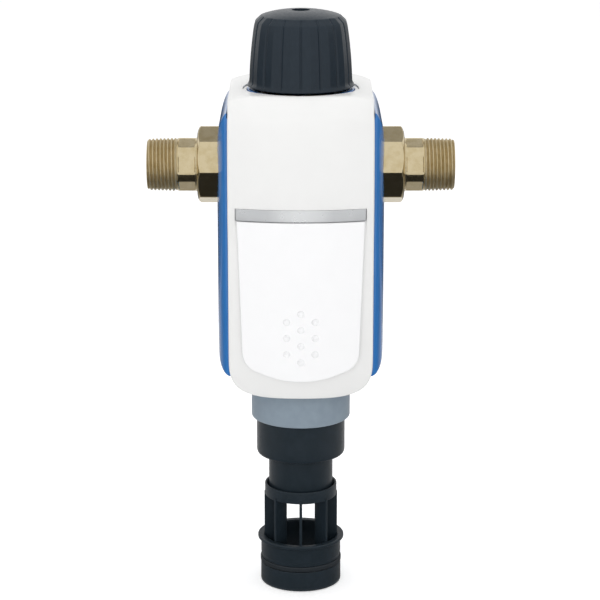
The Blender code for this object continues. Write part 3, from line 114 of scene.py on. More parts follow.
def add_node(tree: bpy.types.NodeTree, kind: str, feeds: Mapping[str | int, object] | None = None,
             **settings: object) -> bpy.types.Node:
    """Adds a node with its settings, and feeds its sockets.

    Args:
        tree: The tree that gets the node.
        kind: Blender's name for the kind of node.
        feeds: A value, or another node's output, for each named or numbered input.
        **settings: The node's own properties.

    Returns:
        The new node.
    """
    node = tree.nodes.new(kind)
    for key, value in settings.items():
        setattr(node, key, value)
    for key, value in (feeds or {}).items():
        if isinstance(value, bpy.types.NodeSocket):
            tree.links.new(value, node.inputs[key])
        else:
            node.inputs[key].default_value = value
    return node


def maths(tree: bpy.types.NodeTree, operation: str, *values: object) -> bpy.types.NodeSocket:
    """Adds one step of arithmetic and returns its result."""
    return add_node(tree, "ShaderNodeMath", dict(enumerate(values)), operation=operation).outputs[0]


def new_tree(name: str, **inputs: str
             ) -> tuple[bpy.types.NodeTree, Mapping[str, bpy.types.NodeSocket]]:
    """Starts a geometry tree that takes a shape, a material and further values.

    Args:
        name: The tree's name.
        **inputs: The kind of each further input, by its name.

    Returns:
        The tree, and what goes into it.
    """
    tree = bpy.data.node_groups.new(name, "GeometryNodeTree")
    for label, kind in {"Geometry": "Geometry", **inputs, "Material": "Material"}.items():
        tree.interface.new_socket(label, in_out="INPUT", socket_type="NodeSocket" + kind)
    tree.interface.new_socket("Geometry", in_out="OUTPUT", socket_type="NodeSocketGeometry")
    return tree, add_node(tree, "NodeGroupInput").outputs


def end_tree(tree: bpy.types.NodeTree, shape: bpy.types.NodeSocket,
             material: bpy.types.NodeSocket) -> bpy.types.NodeTree:
    """Ends a geometry tree with real instances and their material, and returns it."""
    real = add_node(tree, "GeometryNodeRealizeInstances", {0: shape})
    dressed = add_node(tree, "GeometryNodeSetMaterial",
                       {"Geometry": real.outputs[0], "Material": material})
    add_node(tree, "NodeGroupOutput", {0: dressed.outputs[0]})
    return tree


def soft_min(first: float, second: float, blend: float) -> float:
    """The smaller of two lengths, rounded where they are close.

    Args:
        first: One length.
        second: The other.
        blend: The difference below which the two blend.

    Returns:
        The rounded minimum.
    """
    share = min(max(0.5 + 0.5 * (second - first) / blend, 0.0), 1.0)
    return second + (first - second) * share - blend * share * (1.0 - share)


def softened(corners: Sequence[Corner], closed: bool, steps: int = 5) -> list[Flat]:
    """Rounds the corners of an outline.

    Args:
        corners: Across, up and the length of edge that the rounding takes on each side.
        closed: Whether the outline returns to its first corner.
        steps: Points on each rounded corner, less one.

    Returns:
        The outline's points.
    """
    result: list[Flat] = []
    count = len(corners)
    for index, (across, up, radius) in enumerate(corners):
        here = Vector((across, up))
        if radius <= 0.0 or (not closed and index in (0, count - 1)):
            result.append((across, up))
            continue
        before = Vector(corners[index - 1][:2]) - here
        after = Vector(corners[(index + 1) % count][:2]) - here
        reach = min(radius, 0.49 * before.length, 0.49 * after.length)
        start, end = here + before.normalized() * reach, here + after.normalized() * reach
        for step in range(steps + 1):
            share = step / steps
            point = (start * (1.0 - share) ** 2 + here * 2.0 * share * (1.0 - share)
                     + end * share ** 2)
            result.append((point.x, point.y))
    return result


def smooth_path(points: Sequence[Flat], spacing: float) -> list[Flat]:
    """A curve through the given points.

    Args:
        points: Points that the curve passes through.
        spacing: Longest distance between two points of the result.

    Returns:
        Points along the curve.
    """
    knots = [Vector(point) for point in points]
    knots = [knots[0] * 2.0 - knots[1], *knots, knots[-1] * 2.0 - knots[-2]]
    result: list[Flat] = []
    for before, start, end, after in zip(knots, knots[1:], knots[2:], knots[3:]):
        span = (end - start).length
        lead = (end - before) * (span / ((start - before).length + span))
        trail = (after - start) * (span / (span + (after - end).length))
        steps = max(1, math.ceil(span / spacing))
        for step in range(steps):
            t = step / steps
            point = (start * (2.0 * t ** 3 - 3.0 * t ** 2 + 1.0)
                     + lead * (t ** 3 - 2.0 * t ** 2 + t)
                     + end * (3.0 * t ** 2 - 2.0 * t ** 3) + trail * (t ** 3 - t ** 2))
            result.append((point.x, point.y))
    result.append(tuple(knots[-2]))
    return result


def spread(start: float, end: float, count: int) -> list[float]:
    """Evenly spaced values, both ends included."""
    return [start + (end - start) * index / count for index in range(count + 1)]


class Skin:
    """Points and faces of one piece while it is made, in millimetres."""

    def __init__(self) -> None:
        """Starts with nothing."""
        self.points: list[Point] = []
        self.faces: list[tuple[int, ...]] = []

    def row(self, points: Iterable[Point]) -> list[int]:
        """Adds a row of points and returns their numbers."""
        start = len(self.points)
        self.points.extend(points)
        return list(range(start, len(self.points)))

    def bridge(self, first: Sequence[int], second: Sequence[int], around: bool = True) -> None:
        """Joins two rows with faces.

        Args:
            first: Numbers of one row.
            second: Numbers of the other, as many.
            around: Whether the last point joins the first.
        """
        count = len(first)
        for index in range(count if around else count - 1):
            after = (index + 1) % count
            self.faces.append((first[index], first[after], second[after], second[index]))

    def loft(self, rows: Sequence[Iterable[Point]], around: bool = True, looped: bool = False,
             capped: bool = False) -> list[list[int]]:
        """Joins rows in order.

        Args:
            rows: Rows of points, all as long.
            around: Whether each row closes on itself.
            looped: Whether the last row joins the first.
            capped: Whether the first and the last row are filled.

        Returns:
            The numbers of each row's points.
        """
        numbers = [self.row(points) for points in rows]
        for first, second in zip(numbers, numbers[1:]):
            self.bridge(first, second, around)
        if looped:
            self.bridge(numbers[-1], numbers[0], around)
        if capped:
            self.faces.append(tuple(numbers[0]))
            self.faces.append(tuple(numbers[-1]))
        return numbers

    def piece(self, name: str, sharp: float = 32.0) -> bpy.types.Object:
        """Makes the object, with doubled points merged and faces turned outwards.

        Args:
            name: The object's name.
            sharp: Angle in degrees above which an edge stays sharp.

        Returns:
            The linked object.
        """
        mesh = bpy.data.meshes.new(name)
        mesh.from_pydata([(x * MM, y * MM, z * MM) for x, y, z in self.points], [], self.faces)
        item = bpy.data.objects.new(name, mesh)
        bpy.context.scene.collection.objects.link(item)
        tidy_mesh(mesh, sharp)
        return item


def tidy_mesh(mesh: bpy.types.Mesh, sharp: float) -> None:
    """Merges doubled points, turns faces outwards and shades the mesh.

    Args:
        mesh: The mesh, changed in place.
        sharp: Angle in degrees above which an edge stays sharp.
    """
    work = bmesh.new()
    work.from_mesh(mesh)
    bmesh.ops.remove_doubles(work, verts=work.verts, dist=MERGE)
    bmesh.ops.dissolve_degenerate(work, edges=work.edges, dist=MERGE)
    bmesh.ops.recalc_face_normals(work, faces=work.faces)
    work.to_mesh(mesh)
    work.free()
    mesh.shade_smooth()
    mesh.set_sharp_from_angle(angle=math.radians(sharp))


def turned(name: str, outline: Sequence[Flat], steps: int = 96, axis: Axis = Axis.UPRIGHT,
           at: Flat = (0.0, 0.0), flip: float = 1.0, sharp: float = 32.0) -> bpy.types.Object:
    """Turns an outline of (radius, height) about an axis.

    Args:
        name: The object's name.
        outline: A closed half section, or one that starts and ends on the axis.
        steps: Sides of the result.
        axis: The axis to turn about; heights run along it.
        at: Where the axis stands, in the two other coordinates in order.
        flip: -1 to let heights run the other way.
        sharp: Angle in degrees above which an edge stays sharp.

    Returns:
        The turned piece.
    """
    def spot(radius: float, height: float, angle: float) -> Point:
        """One point of the turned piece."""
        first, second = radius * math.cos(angle), radius * math.sin(angle)
        if axis is Axis.PIPE:
            return height * flip, at[0] + first, at[1] + second
        if axis is Axis.DEPTH:
            return at[0] + first, height * flip, at[1] + second
        return at[0] + first, at[1] + second, height * flip

    angles = [2.0 * math.pi * step / steps for step in range(steps)]
    skin = Skin()
    on_axis = outline[0][0] == 0.0
    skin.loft([[spot(radius, height, angle) for angle in angles] for radius, height in outline],
              looped=not on_axis)
    return skin.piece(name, sharp)


def ring(name: str, outer: float, inner: float, top: float, bottom: float, edge: float = 0.3,
         steps: int = 96) -> bpy.types.Object:
    """A plain ring with rounded edges.

    Args:
        name: The object's name.
        outer: Outer radius.
        inner: Inner radius.
        top: Height of its top.
        bottom: Height of its bottom.
        edge: Rounding of its edges.
        steps: Sides of the result.

    Returns:
        The ring.
    """
    outline = softened([(outer, top, edge), (outer, bottom, edge), (inner, bottom, edge),
                        (inner, top, edge)], closed=True, steps=4)
    return turned(name, outline, steps)


def settle(item: bpy.types.Object, sharp: float = 32.0) -> bpy.types.Object:
    """Turns an object's evaluated shape into a plain mesh, and drops its modifiers.

    Args:
        item: The object.
        sharp: Angle in degrees above which an edge stays sharp.

    Returns:
        The same object.
    """
    bpy.context.view_layer.update()
    graph = bpy.context.evaluated_depsgraph_get()
    mesh = bpy.data.meshes.new_from_object(item.evaluated_get(graph))
    item.modifiers.clear()
    item.data = mesh
    tidy_mesh(mesh, sharp)
    return item


def shaped(item: bpy.types.Object, kind: Cut, *tools: bpy.types.Object,
           sharp: float = 32.0) -> bpy.types.Object:
    """Cuts or joins a piece with helper shapes, and removes the helpers.

    Args:
        item: The piece.
        kind: What the helpers do to it.
        *tools: The helper shapes.
        sharp: Angle in degrees above which an edge stays sharp.

    Returns:
        The piece.
    """
    for tool in tools:
        modifier = item.modifiers.new(tool.name, "BOOLEAN")
        modifier.operation = kind.value
        modifier.solver = "EXACT"
        modifier.object = tool
    settle(item, sharp)
    for tool in tools:
        bpy.data.objects.remove(tool, do_unlink=True)
    return item


def box_tool(name: str, low: Point, high: Point) -> bpy.types.Object:
    """A box between two corners, for cutting."""
    skin = Skin()
    corners = [(low[0], low[1]), (high[0], low[1]), (high[0], high[1]), (low[0], high[1])]
    skin.loft([[(x, y, z) for x, y in corners] for z in (low[2], high[2])], capped=True)
    return skin.piece(name)


def grown(item: bpy.types.Object, tree: bpy.types.NodeTree, values: Mapping[str, object],
          sharp: float = 32.0) -> bpy.types.Object:
    """Runs a geometry tree on a piece and keeps the result as a plain mesh.

    Args:
        item: The piece that the tree starts from.
        tree: The geometry tree.
        values: The value for each named input.
        sharp: Angle in degrees above which an edge stays sharp.

    Returns:
        The piece.
    """
    modifier = item.modifiers.new(tree.name, "NODES")
    modifier.node_group = tree
    for entry in tree.interface.items_tree:
        if entry.in_out == "INPUT" and entry.name in values:
            modifier[entry.identifier] = values[entry.name]
    return settle(item, sharp)


def place(item: bpy.types.Object, body: str, slot: str, finish: bpy.types.Material,
          *nodes: str) -> bpy.types.Object:
    """Dresses a finished piece, lets it ride, and hides the CAD nodes that it stands for.

    Args:
        item: The piece.
        body: The CAD body that it moves with.
        slot: The record's material slot; not used.
        finish: Its material.
        *nodes: The CAD nodes that it replaces.

    Returns:
        The piece.
    """
    item.data.materials.clear()
    item.data.materials.append(finish)
    if nodes:
        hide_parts(*nodes)
    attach(item, body)
    log.info("%s: %d faces on %s", item.name, len(item.data.polygons), body)
    return item


# Finishes


class Finish:
    """What every finish shares: a material with one shader on object coordinates."""

    def start(self, name: str, **sockets: object) -> bpy.types.Material:
        """Makes the material and sets the shader's plain values.

        Args:
            name: The material's name.
            **sockets: Values by the socket's name, with underscores for spaces.

        Returns:
            The material, whose tree has the nodes Principled BSDF and Texture Coordinate.
        """
        self.material = bpy.data.materials.new(name)
        self.material.use_nodes = True
        self.tree = self.material.node_tree
        self.shader = self.tree.nodes["Principled BSDF"]
        for key, value in sockets.items():
            self.shader.inputs[key.replace("_", " ")].default_value = value
        self.spot = add_node(self.tree, "ShaderNodeTexCoord").outputs["Object"]
        return self.material

    def clouds(self, size_mm: float, detail: float = 3.0) -> bpy.types.NodeSocket:
        """Soft noise between 0 and 1 whose blobs have the given size."""
        return add_node(self.tree, "ShaderNodeTexNoise",
                        {"Vector": self.spot, "Scale": 1.0 / (size_mm * MM), "Detail": detail}
                        ).outputs["Fac"]

    def blend(self, amount: bpy.types.NodeSocket, low: float, high: float, first: str,
              second: str) -> bpy.types.NodeSocket:
        """Mixes two colours as the amount goes from low to high."""
        share = add_node(self.tree, "ShaderNodeMapRange",
                         {"Value": amount, "From Min": low, "From Max": high})
        return add_node(self.tree, "ShaderNodeMix",
                        {0: share.outputs[0], 6: linear(first), 7: linear(second)},
                        data_type="RGBA").outputs[2]

    def ramp(self, amount: bpy.types.NodeSocket, low: float, high: float) -> bpy.types.NodeSocket:
        """Maps noise around its middle onto a range of values."""
        return add_node(self.tree, "ShaderNodeMapRange",
                        {"Value": amount, "From Min": 0.3, "From Max": 0.7, "To Min": low,
                         "To Max": high}).outputs[0]

    def bump(self, height: bpy.types.NodeSocket, depth_mm: float, strength: float = 1.0) -> None:
        """Raises the surface by a height between 0 and 1 times a depth."""
        relief = add_node(self.tree, "ShaderNodeBump",
                          {"Height": height, "Distance": depth_mm * MM, "Strength": strength})
        self.tree.links.new(relief.outputs[0], self.shader.inputs["Normal"])

    def link(self, socket: bpy.types.NodeSocket, name: str) -> None:
        """Feeds one of the shader's sockets."""
        self.tree.links.new(socket, self.shader.inputs[name])


@dataclass(frozen=True)
class MouldedAbs:
    """High gloss ABS out of a polished mould: a clear mirror edge over a body colour.

    The eye sees long soft highlights with a slight waviness, and almost no texture.
    """

    name: str
    colour: str
    thin: str
    roughness: float
    wave_mm: float = 9.0
    wave_depth_mm: float = 0.006

    def build(self) -> bpy.types.Material:
        """Returns the material."""
        kit = Finish()
        kit.start(self.name, IOR=1.53)
        haze = kit.clouds(14.0)
        kit.link(kit.blend(haze, 0.2, 0.8, self.colour, self.thin), "Base Color")
        kit.link(kit.ramp(kit.clouds(25.0, 1.0), self.roughness * 0.95, self.roughness * 1.05),
                 "Roughness")
        kit.bump(kit.clouds(self.wave_mm, 1.0), self.wave_depth_mm)
        return kit.material


@dataclass(frozen=True)
class GlassFilledNylon:
    """Glass filled nylon from an eroded mould: dark, satin, with a fine even grain.

    The eye sees broad dim highlights that break up into grain, and paler clouds of fibre.
    """

    name: str
    colour: str
    fibre: str
    roughness: float
    gloss: float = 0.3
    grain_mm: float = 0.45
    grain_depth_mm: float = 0.012

    def build(self) -> bpy.types.Material:
        """Returns the material."""
        kit = Finish()
        kit.start(self.name, IOR=1.5, Specular_IOR_Level=self.gloss)
        kit.link(kit.blend(kit.clouds(6.0), 0.35, 0.7, self.colour, self.fibre), "Base Color")
        kit.link(kit.ramp(kit.clouds(1.5), self.roughness * 0.85, self.roughness * 1.2),
                 "Roughness")
        kit.bump(kit.clouds(self.grain_mm, 2.0), self.grain_depth_mm)
        return kit.material


@dataclass(frozen=True)
class TurnedBrass:
    """Dezincification resistant brass, turned and milled, then plated pale.

    The eye sees a yellowish grey metal with fine rings from the tool across the pipe run.
    """

    name: str
    colour: str
    tarnish: str
    roughness: float
    thread_roughness: float
    thread_from_mm: float = 76.5
    feed_mm: float = 0.35
    feed_depth_mm: float = 0.006

    def build(self) -> bpy.types.Material:
        """Returns the material, whose cut thread is duller than the turned faces."""
        kit = Finish()
        kit.start(self.name, Metallic=1.0)
        kit.link(kit.blend(kit.clouds(5.0), 0.4, 0.75, self.colour, self.tarnish), "Base Color")
        across = add_node(kit.tree, "ShaderNodeSeparateXYZ", {0: kit.spot}).outputs[0]
        out = maths(kit.tree, "ABSOLUTE", across)
        start = self.thread_from_mm * MM
        cut = add_node(kit.tree, "ShaderNodeMapRange", {
            "Value": out, "From Min": start, "From Max": start + 0.4 * MM,
            "To Min": self.roughness, "To Max": self.thread_roughness}).outputs[0]
        uneven = kit.ramp(kit.clouds(2.0), 0.8, 1.25)
        kit.link(maths(kit.tree, "MULTIPLY", cut, uneven), "Roughness")
        rings = add_node(kit.tree, "ShaderNodeTexWave",
                         {"Vector": kit.spot, "Scale": 0.32 / (self.feed_mm * MM),
                          "Distortion": 0.6, "Detail": 1.0}, bands_direction="X")
        kit.bump(rings.outputs["Fac"], self.feed_depth_mm)
        return kit.material


@dataclass(frozen=True)
class CastBrass:
    """Sand cast brass, shot blasted: dull yellow with a pitted skin."""

    name: str
    colour: str
    stain: str

    def build(self) -> bpy.types.Material:
        """Returns the material."""
        kit = Finish()
        kit.start(self.name, Metallic=1.0, Roughness=0.5)
        kit.link(kit.blend(kit.clouds(8.0), 0.35, 0.7, self.colour, self.stain), "Base Color")
        kit.bump(kit.clouds(0.9, 4.0), 0.06)
        return kit.material


@dataclass(frozen=True)
class SatinFoil:
    """Hot stamped aluminium foil on plastic: soft silver, with a painted highlight that makes its
    base colour brighter in the middle.
    """

    name: str
    colour: str
    # The second colour is a painted highlight across the strip's middle, fading out over the half
    # width below.
    painted_highlight: str
    roughness: float
    highlight_half_mm: float = 20.0

    def build(self) -> bpy.types.Material:
        """Returns the material."""
        kit = Finish()
        kit.start(self.name, Metallic=1.0)
        # Painted highlight: the base colour is lighter across the middle of the strip, where a
        # lamp's reflection falls.
        across = add_node(kit.tree, "ShaderNodeSeparateXYZ", {0: kit.spot}).outputs[0]
        share = maths(kit.tree, "MULTIPLY", across, 1.0 / (self.highlight_half_mm * MM))
        middle = maths(kit.tree, "MULTIPLY", share, share)
        kit.link(kit.blend(middle, 0.0, 1.0, self.painted_highlight, self.colour), "Base Color")
        kit.link(kit.ramp(kit.clouds(6.0, 1.0), self.roughness * 0.9, self.roughness * 1.1),
                 "Roughness")
        kit.bump(kit.clouds(5.0, 1.0), 0.004)
        return kit.material


@dataclass(frozen=True)
class StainlessSteel:
    """Machined stainless steel: cool grey, with fine lines round the part."""

    name: str
    colour: str
    roughness: float

    def build(self) -> bpy.types.Material:
        """Returns the material."""
        kit = Finish()
        kit.start(self.name, Metallic=1.0)
        kit.link(kit.blend(kit.clouds(3.0), 0.3, 0.7, self.colour, "#A9ACAF"), "Base Color")
        kit.link(kit.ramp(kit.clouds(0.8), self.roughness * 0.8, self.roughness * 1.3),
                 "Roughness")
        kit.bump(kit.clouds(0.25, 1.0), 0.004)
        return kit.material


@dataclass(frozen=True)
class MattePlain:
    """Unpolished stock such as acetal, nitrile rubber or pressed fibre.

    The eye sees a dull even body with a fine tooth and slight blotches.
    """

    name: str
    colour: str
    blotch: str
    roughness: float
    tooth_mm: float
    tooth_depth_mm: float

    def build(self) -> bpy.types.Material:
        """Returns the material."""
        kit = Finish()
        kit.start(self.name, IOR=1.48)
        kit.link(kit.blend(kit.clouds(4.0), 0.35, 0.7, self.colour, self.blotch), "Base Color")
        kit.link(kit.ramp(kit.clouds(1.0), self.roughness * 0.9, min(self.roughness * 1.1, 1.0)),
                 "Roughness")
        kit.bump(kit.clouds(self.tooth_mm, 3.0), self.tooth_depth_mm)
        return kit.material


@dataclass(frozen=True)
class ClearPolyamide:
    """Transparent polyamide, polished: nearly colourless, a little blue at its edges."""

    name: str
    colour: str

    def build(self) -> bpy.types.Material:
        """Returns the material."""
        kit = Finish()
        kit.start(self.name, IOR=1.51, Transmission_Weight=0.92)
        kit.link(kit.blend(kit.clouds(12.0), 0.3, 0.7, self.colour, "#E6EEF2"), "Base Color")
        kit.link(kit.ramp(kit.clouds(4.0), 0.03, 0.07), "Roughness")
        kit.bump(kit.clouds(7.0, 1.0), 0.01)
        return kit.material


class Finishes:
    """Every material of the filter, by what it is made of."""

    def __init__(self) -> None:
        """Builds them all."""
        self.white = MouldedAbs("white_abs", "#EEEEED", "#ECECEB", 0.3).build()
        # Same white ABS as the cover: its lower roughness is real gloss, but its lighter base
        # colour is painted light standing in for the slider face's brighter shading.
        self.panel = MouldedAbs("white_abs_polished", "#F8F8F9", "#F6F6F7", 0.22).build()
        self.blue = MouldedAbs("blue_abs", "#2F74B9", "#2C70B5", 0.12).build()
        self.black = GlassFilledNylon("black_nylon", "#1F2930", "#222C34", 0.34).build()
        self.grip = GlassFilledNylon("grip_nylon", "#17232D", "#1A2630", 0.34, gloss=0.3).build()
        self.grey = GlassFilledNylon("grey_nylon", "#8694A0", "#8C9AA6", 0.42).build()
        self.brass = TurnedBrass("turned_brass", "#CFC09D", "#C2B189", 0.16, 0.5).build()
        self.cast = CastBrass("cast_brass", "#B79A5E", "#A58646").build()
        # The second colour, #E6E8E9, is a painted highlight across the middle of the strip.
        self.silver = SatinFoil("satin_foil", "#CED0D2", "#E6E8E9", 0.3).build()
        self.steel = StainlessSteel("stainless", "#B9BCBF", 0.28).build()
        self.mesh_steel = StainlessSteel("screen_wire", "#C3C5C6", 0.35).build()
        self.acetal = MattePlain("acetal", "#E2E1DC", "#DAD9D3", 0.4, 0.6, 0.01).build()
        self.rubber = MattePlain("nitrile_rubber", "#1A2127", "#1E252B", 0.6, 0.5, 0.02).build()
        self.fibre = MattePlain("pressed_fibre", "#43604F", "#38523F", 0.9, 0.3, 0.05).build()
        self.clear = ClearPolyamide("clear_polyamide", "#DCE7EE").build()


# Housing


@dataclass
class FrontCover:
    """White front cover: front and top in one moulding, with the handwheel's well."""

    half_width: float = 45.0
    wall: float = 2.4
    edge: float = 1.3               # rounding of the outer edges
    crown: float = 3.5              # fall of the top from its middle to its sides
    crown_power: float = 6.0
    bow: float = 7.0                # how far the front bends back at its sides
    skirt: float = 36.0             # lower edge of the sides and the back of the top
    back: float = -37.4             # where the front's side walls end
    rear: float = 57.0
    rear_flat: float = 28.0
    rear_corner: Flat = (23.7, 27.0)
    corner_height: float = -110.0   # where the bottom's soft corners start
    corner_rise: float = 29.5
    corner_power: float = 3.9
    strip_top: float = -18.7
    seat_half: float = 40.1
    strip_seat: float = -48.1
    slide_seat: float = -47.55
    strip_foot: float = -26.05
    well: float = 36.0
    well_floor: float = 43.0
    well_eye: float = 29.6
    rim: float = 0.3                # rounding of the well's rim
    window: tuple[float, float, float] = (20.0, -34.0, -99.0)   # half width, top, bottom
    slide_face: float = -47.4       # the front behind the slider, on the middle line
    pillar_sink: float = 1.3        # how far inside the front wall a screw pillar starts
    pillar: float = 3.6
    pillar_end: float = 39.7
    screw_bore: float = 1.8
    screw_end: float = 26.0
    side_path: tuple[Flat, ...] = (
        (62.0, 47.6), (56.0, 48.3), (48.0, 48.7), (32.0, 49.0), (0.0, 49.2), (-20.0, 49.3),
        (-34.5, 49.4), (-36.6, 49.3), (-38.2, 48.7), (-39.8, 47.1), (-42.6, 43.0), (-46.4, 35.7),
        (-48.7, 23.2), (-49.8, 8.0), (-50.0, -4.0),
        (-49.9, -11.7), (-49.35, -18.7), (-48.25, -26.0), (-47.5, -34.0), (-47.4, -45.0),
        (-47.4, -110.0), (-47.2, -121.0), (-46.3, -131.5), (-44.6, -139.5))

    def __post_init__(self) -> None:
        """Prepares the side view of the outer face."""
        self.path = smooth_path(self.side_path, 0.6)
        lengths = [0.0]
        for before, after in zip(self.path, self.path[1:]):
            lengths.append(lengths[-1] + math.dist(before, after))
        self.lengths = lengths

    def along(self, length: float) -> Flat:
        """The side view's point at a length from its rear end, as (Y, Z)."""
        low, high = 0, len(self.lengths) - 1
        while high - low > 1:
            middle = (low + high) // 2
            if self.lengths[middle] <= length:
                low = middle
            else:
                high = middle
        share = (length - self.lengths[low]) / (self.lengths[high] - self.lengths[low])
        first, second = self.path[low], self.path[high]
        return (first[0] + (second[0] - first[0]) * share,
                first[1] + (second[1] - first[1]) * share)

    def length_at(self, value: float, part: int) -> float:
        """The length at which the side view reaches a value.

        Args:
            value: Y on the top (part 0) or Z on the front (part 1); both fall along the path.
            part: Which coordinate is meant.

        Returns:
            The length from the rear end.
        """
        for index, (before, after) in enumerate(zip(self.path, self.path[1:])):
            if before[part] >= value >= after[part] and (part == 0 or before[0] < -self.skirt):
                gap = before[part] - after[part]
                share = (before[part] - value) / gap if gap else 0.0
                return (self.lengths[index]
                        + (self.lengths[index + 1] - self.lengths[index]) * share)
        return self.lengths[-1]

    def fall(self, across: float) -> float:
        """How far the top lies lower at a place across it."""
        return self.crown * abs(across / self.half_width) ** self.crown_power

    def face(self, across: float, length: float) -> Vector:
        """A point of the outer face, without the seats of the strip and the slider."""
        depth, height = self.along(length)
        bend = self.bow * (across / self.half_width) ** 2
        front = min(max(-depth / 32.0, 0.0), 1.0)
        return Vector((across, depth + bend * front, height - self.fall(across)))

    def normal(self, across: float, length: float) -> Vector:
        """The outward direction of the outer face at a point."""
        step = 0.05
        wide = self.face(across + step, length) - self.face(across - step, length)
        down = self.face(across, length + step) - self.face(across, length - step)
        return down.cross(wide).normalized()

    def seated(self, point: Vector) -> Vector:
        """Moves a point of the face back onto the strip's or the slider's seat."""
        above = point.z > self.strip_top + SEAT
        if above or abs(point.x) > self.seat_half or point.y > -self.well:
            return point
        bend = self.bow * (point.x / self.half_width) ** 2
        seat = self.strip_seat if point.z > self.strip_foot else self.slide_seat
        return Vector((point.x, max(point.y, seat + bend), point.z))

    def columns(self) -> list[float]:
        """Places across the full width, denser where the bottom corners turn."""
        inner = (self.half_width - self.edge) / self.half_width
        lip = [(self.seat_half - 0.06) / inner, (self.seat_half + 0.06) / inner]
        corner = []
        for degrees in (0.0, 4.0, 8.0, 12.0, 15.0, 18.0, 21.0, 24.0):
            angle = math.radians(degrees)
            ratio = math.tan(angle) * self.half_width / self.corner_rise
            corner.append(self.half_width * (1.0 + ratio ** self.corner_power)
                          ** (-1.0 / self.corner_power))
        middle = spread(0.0, lip[0] - 1.2, 22)
        half = middle + lip + sorted(corner)
        return [-place for place in reversed(half[1:])] + half

    def rows(self, across: float, share: float, inset: float) -> list[float]:
        """Lengths along the face for one column.

        Args:
            across: The column's place.
            share: Its place as a share of the half width.
            inset: How far the outline is drawn in.

        Returns:
            Lengths from the rear edge to the bottom edge.
        """
        wide, deep = self.rear_corner[0] - inset, self.rear_corner[1] - inset
        past = max(abs(across) - self.rear_flat, 0.0) / wide
        rear = self.rear - self.rear_corner[1] + deep * math.sqrt(max(1.0 - past ** 2, 0.0))
        bend = self.fall(across)
        rise = (self.corner_rise - inset) * max(1.0 - abs(share) ** self.corner_power, 0.0) ** (
            1.0 / self.corner_power)
        bottom = self.corner_height - rise + bend
        stops = [self.length_at(rear, 0), self.length_at(25.0, 0), self.length_at(-30.0, 0),
                 self.length_at(36.0, 1), self.length_at(self.strip_top + SEAT + bend + 0.05, 1),
                 self.length_at(self.strip_top + SEAT + bend - 0.05, 1),
                 self.length_at(self.strip_foot + bend + 0.05, 1),
                 self.length_at(self.strip_foot + bend - 0.05, 1),
                 self.length_at(-100.0, 1), self.length_at(bottom, 1)]
        counts = (10, 14, 26, 26, 1, 5, 1, 26, 22)
        result = [stops[0]]
        for start, end, count in zip(stops, stops[1:], counts):
            result += spread(start, end, count)[1:]
        return result

    def grid(self, inset: float, depth: float, seats: bool) -> list[list[Vector]]:
        """The face as columns of points.

        Args:
            inset: How far its outline is drawn in.
            depth: How far it lies below the outer face.
            seats: Whether the strip and the slider have their seats in it.

        Returns:
            One list of points for each column.
        """
        scale = (self.half_width - inset) / self.half_width
        result = []
        for full in self.columns():
            across = full * scale
            column = []
            for length in self.rows(across, full / self.half_width, inset):
                point = self.face(across, length)
                if seats:
                    point = self.seated(point)
                column.append(point - self.normal(across, length) * depth)
            result.append(column)
        return result

    def border(self, grid: list[list[Vector]]) -> list[Vector]:
        """The points round a grid's edge, in order."""
        return (grid[0] + [column[-1] for column in grid[1:-1]] + grid[-1][::-1]
                + [column[0] for column in grid[-2:0:-1]])

    def wall_end(self, point: Vector) -> Point:
        """Where the wall that starts at a point of the edge ends."""
        if point.z < self.skirt:
            return point.x, self.back, point.z
        return point.x, max(point.y, self.back), self.skirt

    def moulding(self) -> bpy.types.Object:
        """The hollow moulding without its well, window and pillars."""
        skin = Skin()
        outer = self.grid(self.edge, 0.0, seats=True)
        inner = self.grid(self.wall, self.wall, seats=False)
        for grid in (outer, inner):
            skin.loft([[tuple(point) for point in column] for column in grid], around=False)
        rings = [[tuple(point) for point in self.border(outer)]]
        for angle in spread(0.0, QUARTER_TURN, 6)[1:]:
            layer = self.grid(self.edge * (1.0 - math.sin(angle)),
                              self.edge * (1.0 - math.cos(angle)), seats=False)
            rings.append([tuple(point) for point in self.border(layer)])
        rings.append([self.wall_end(Vector(point)) for point in rings[-1]])
        inside = self.border(inner)
        rings.append([self.wall_end(point) for point in inside])
        rings.append([tuple(point) for point in inside])
        skin.loft(rings)
        return skin.piece("cover_moulding", 40.0)

    def bowed_tool(self, name: str, outline: Sequence[Flat], follow: float) -> bpy.types.Object:
        """A turned helper whose upper part follows the crown of the top.

        Args:
            name: The helper's name.
            outline: Closed half section of (radius, height).
            follow: Height above which points follow the crown.

        Returns:
            The helper.
        """
        tool = turned(name, outline, 160)
        for vertex in tool.data.vertices:
            if vertex.co.z > follow * MM:
                vertex.co.z -= self.fall(vertex.co.x / MM) * MM
        return tool

    def build(self, finishes: Finishes) -> None:
        """Makes the cover and dresses it."""
        cover = self.moulding()
        top = max(height for _, height in self.side_path)
        well = self.bowed_tool("well", [
            (self.well + self.wall, top - 1.0), (self.well + self.wall, self.well_floor - 2.0),
            (self.well_eye, self.well_floor - 2.0), (self.well_eye, self.well_floor),
            (self.well, self.well_floor), (self.well, top - 1.0)], top - 2.0)
        hole = self.bowed_tool("well_hole", [
            (0.0, top + OVERSHOOT), (self.well + OVERSHOOT + self.rim, top + OVERSHOOT),
            (self.well + self.rim, top + 0.02),
            (self.well + self.rim * 0.4, top - self.rim * 0.25),
            (self.well + self.rim * 0.1, top - self.rim * 0.6), (self.well, top - self.rim),
            (self.well, self.well_floor + 0.5), (0.0, self.well_floor + 0.5)], top - 3.0)
        half, high, low = self.window
        window = box_tool("window", (-half, -60.0, low), (half, -25.0, high))
        shaped(cover, Cut.AWAY, hole, window)
        shaped(cover, Cut.JOIN, well, *self.pillars(), sharp=34.0)
        place(cover, "housing", "white_plastic", finishes.white, "front_cover")

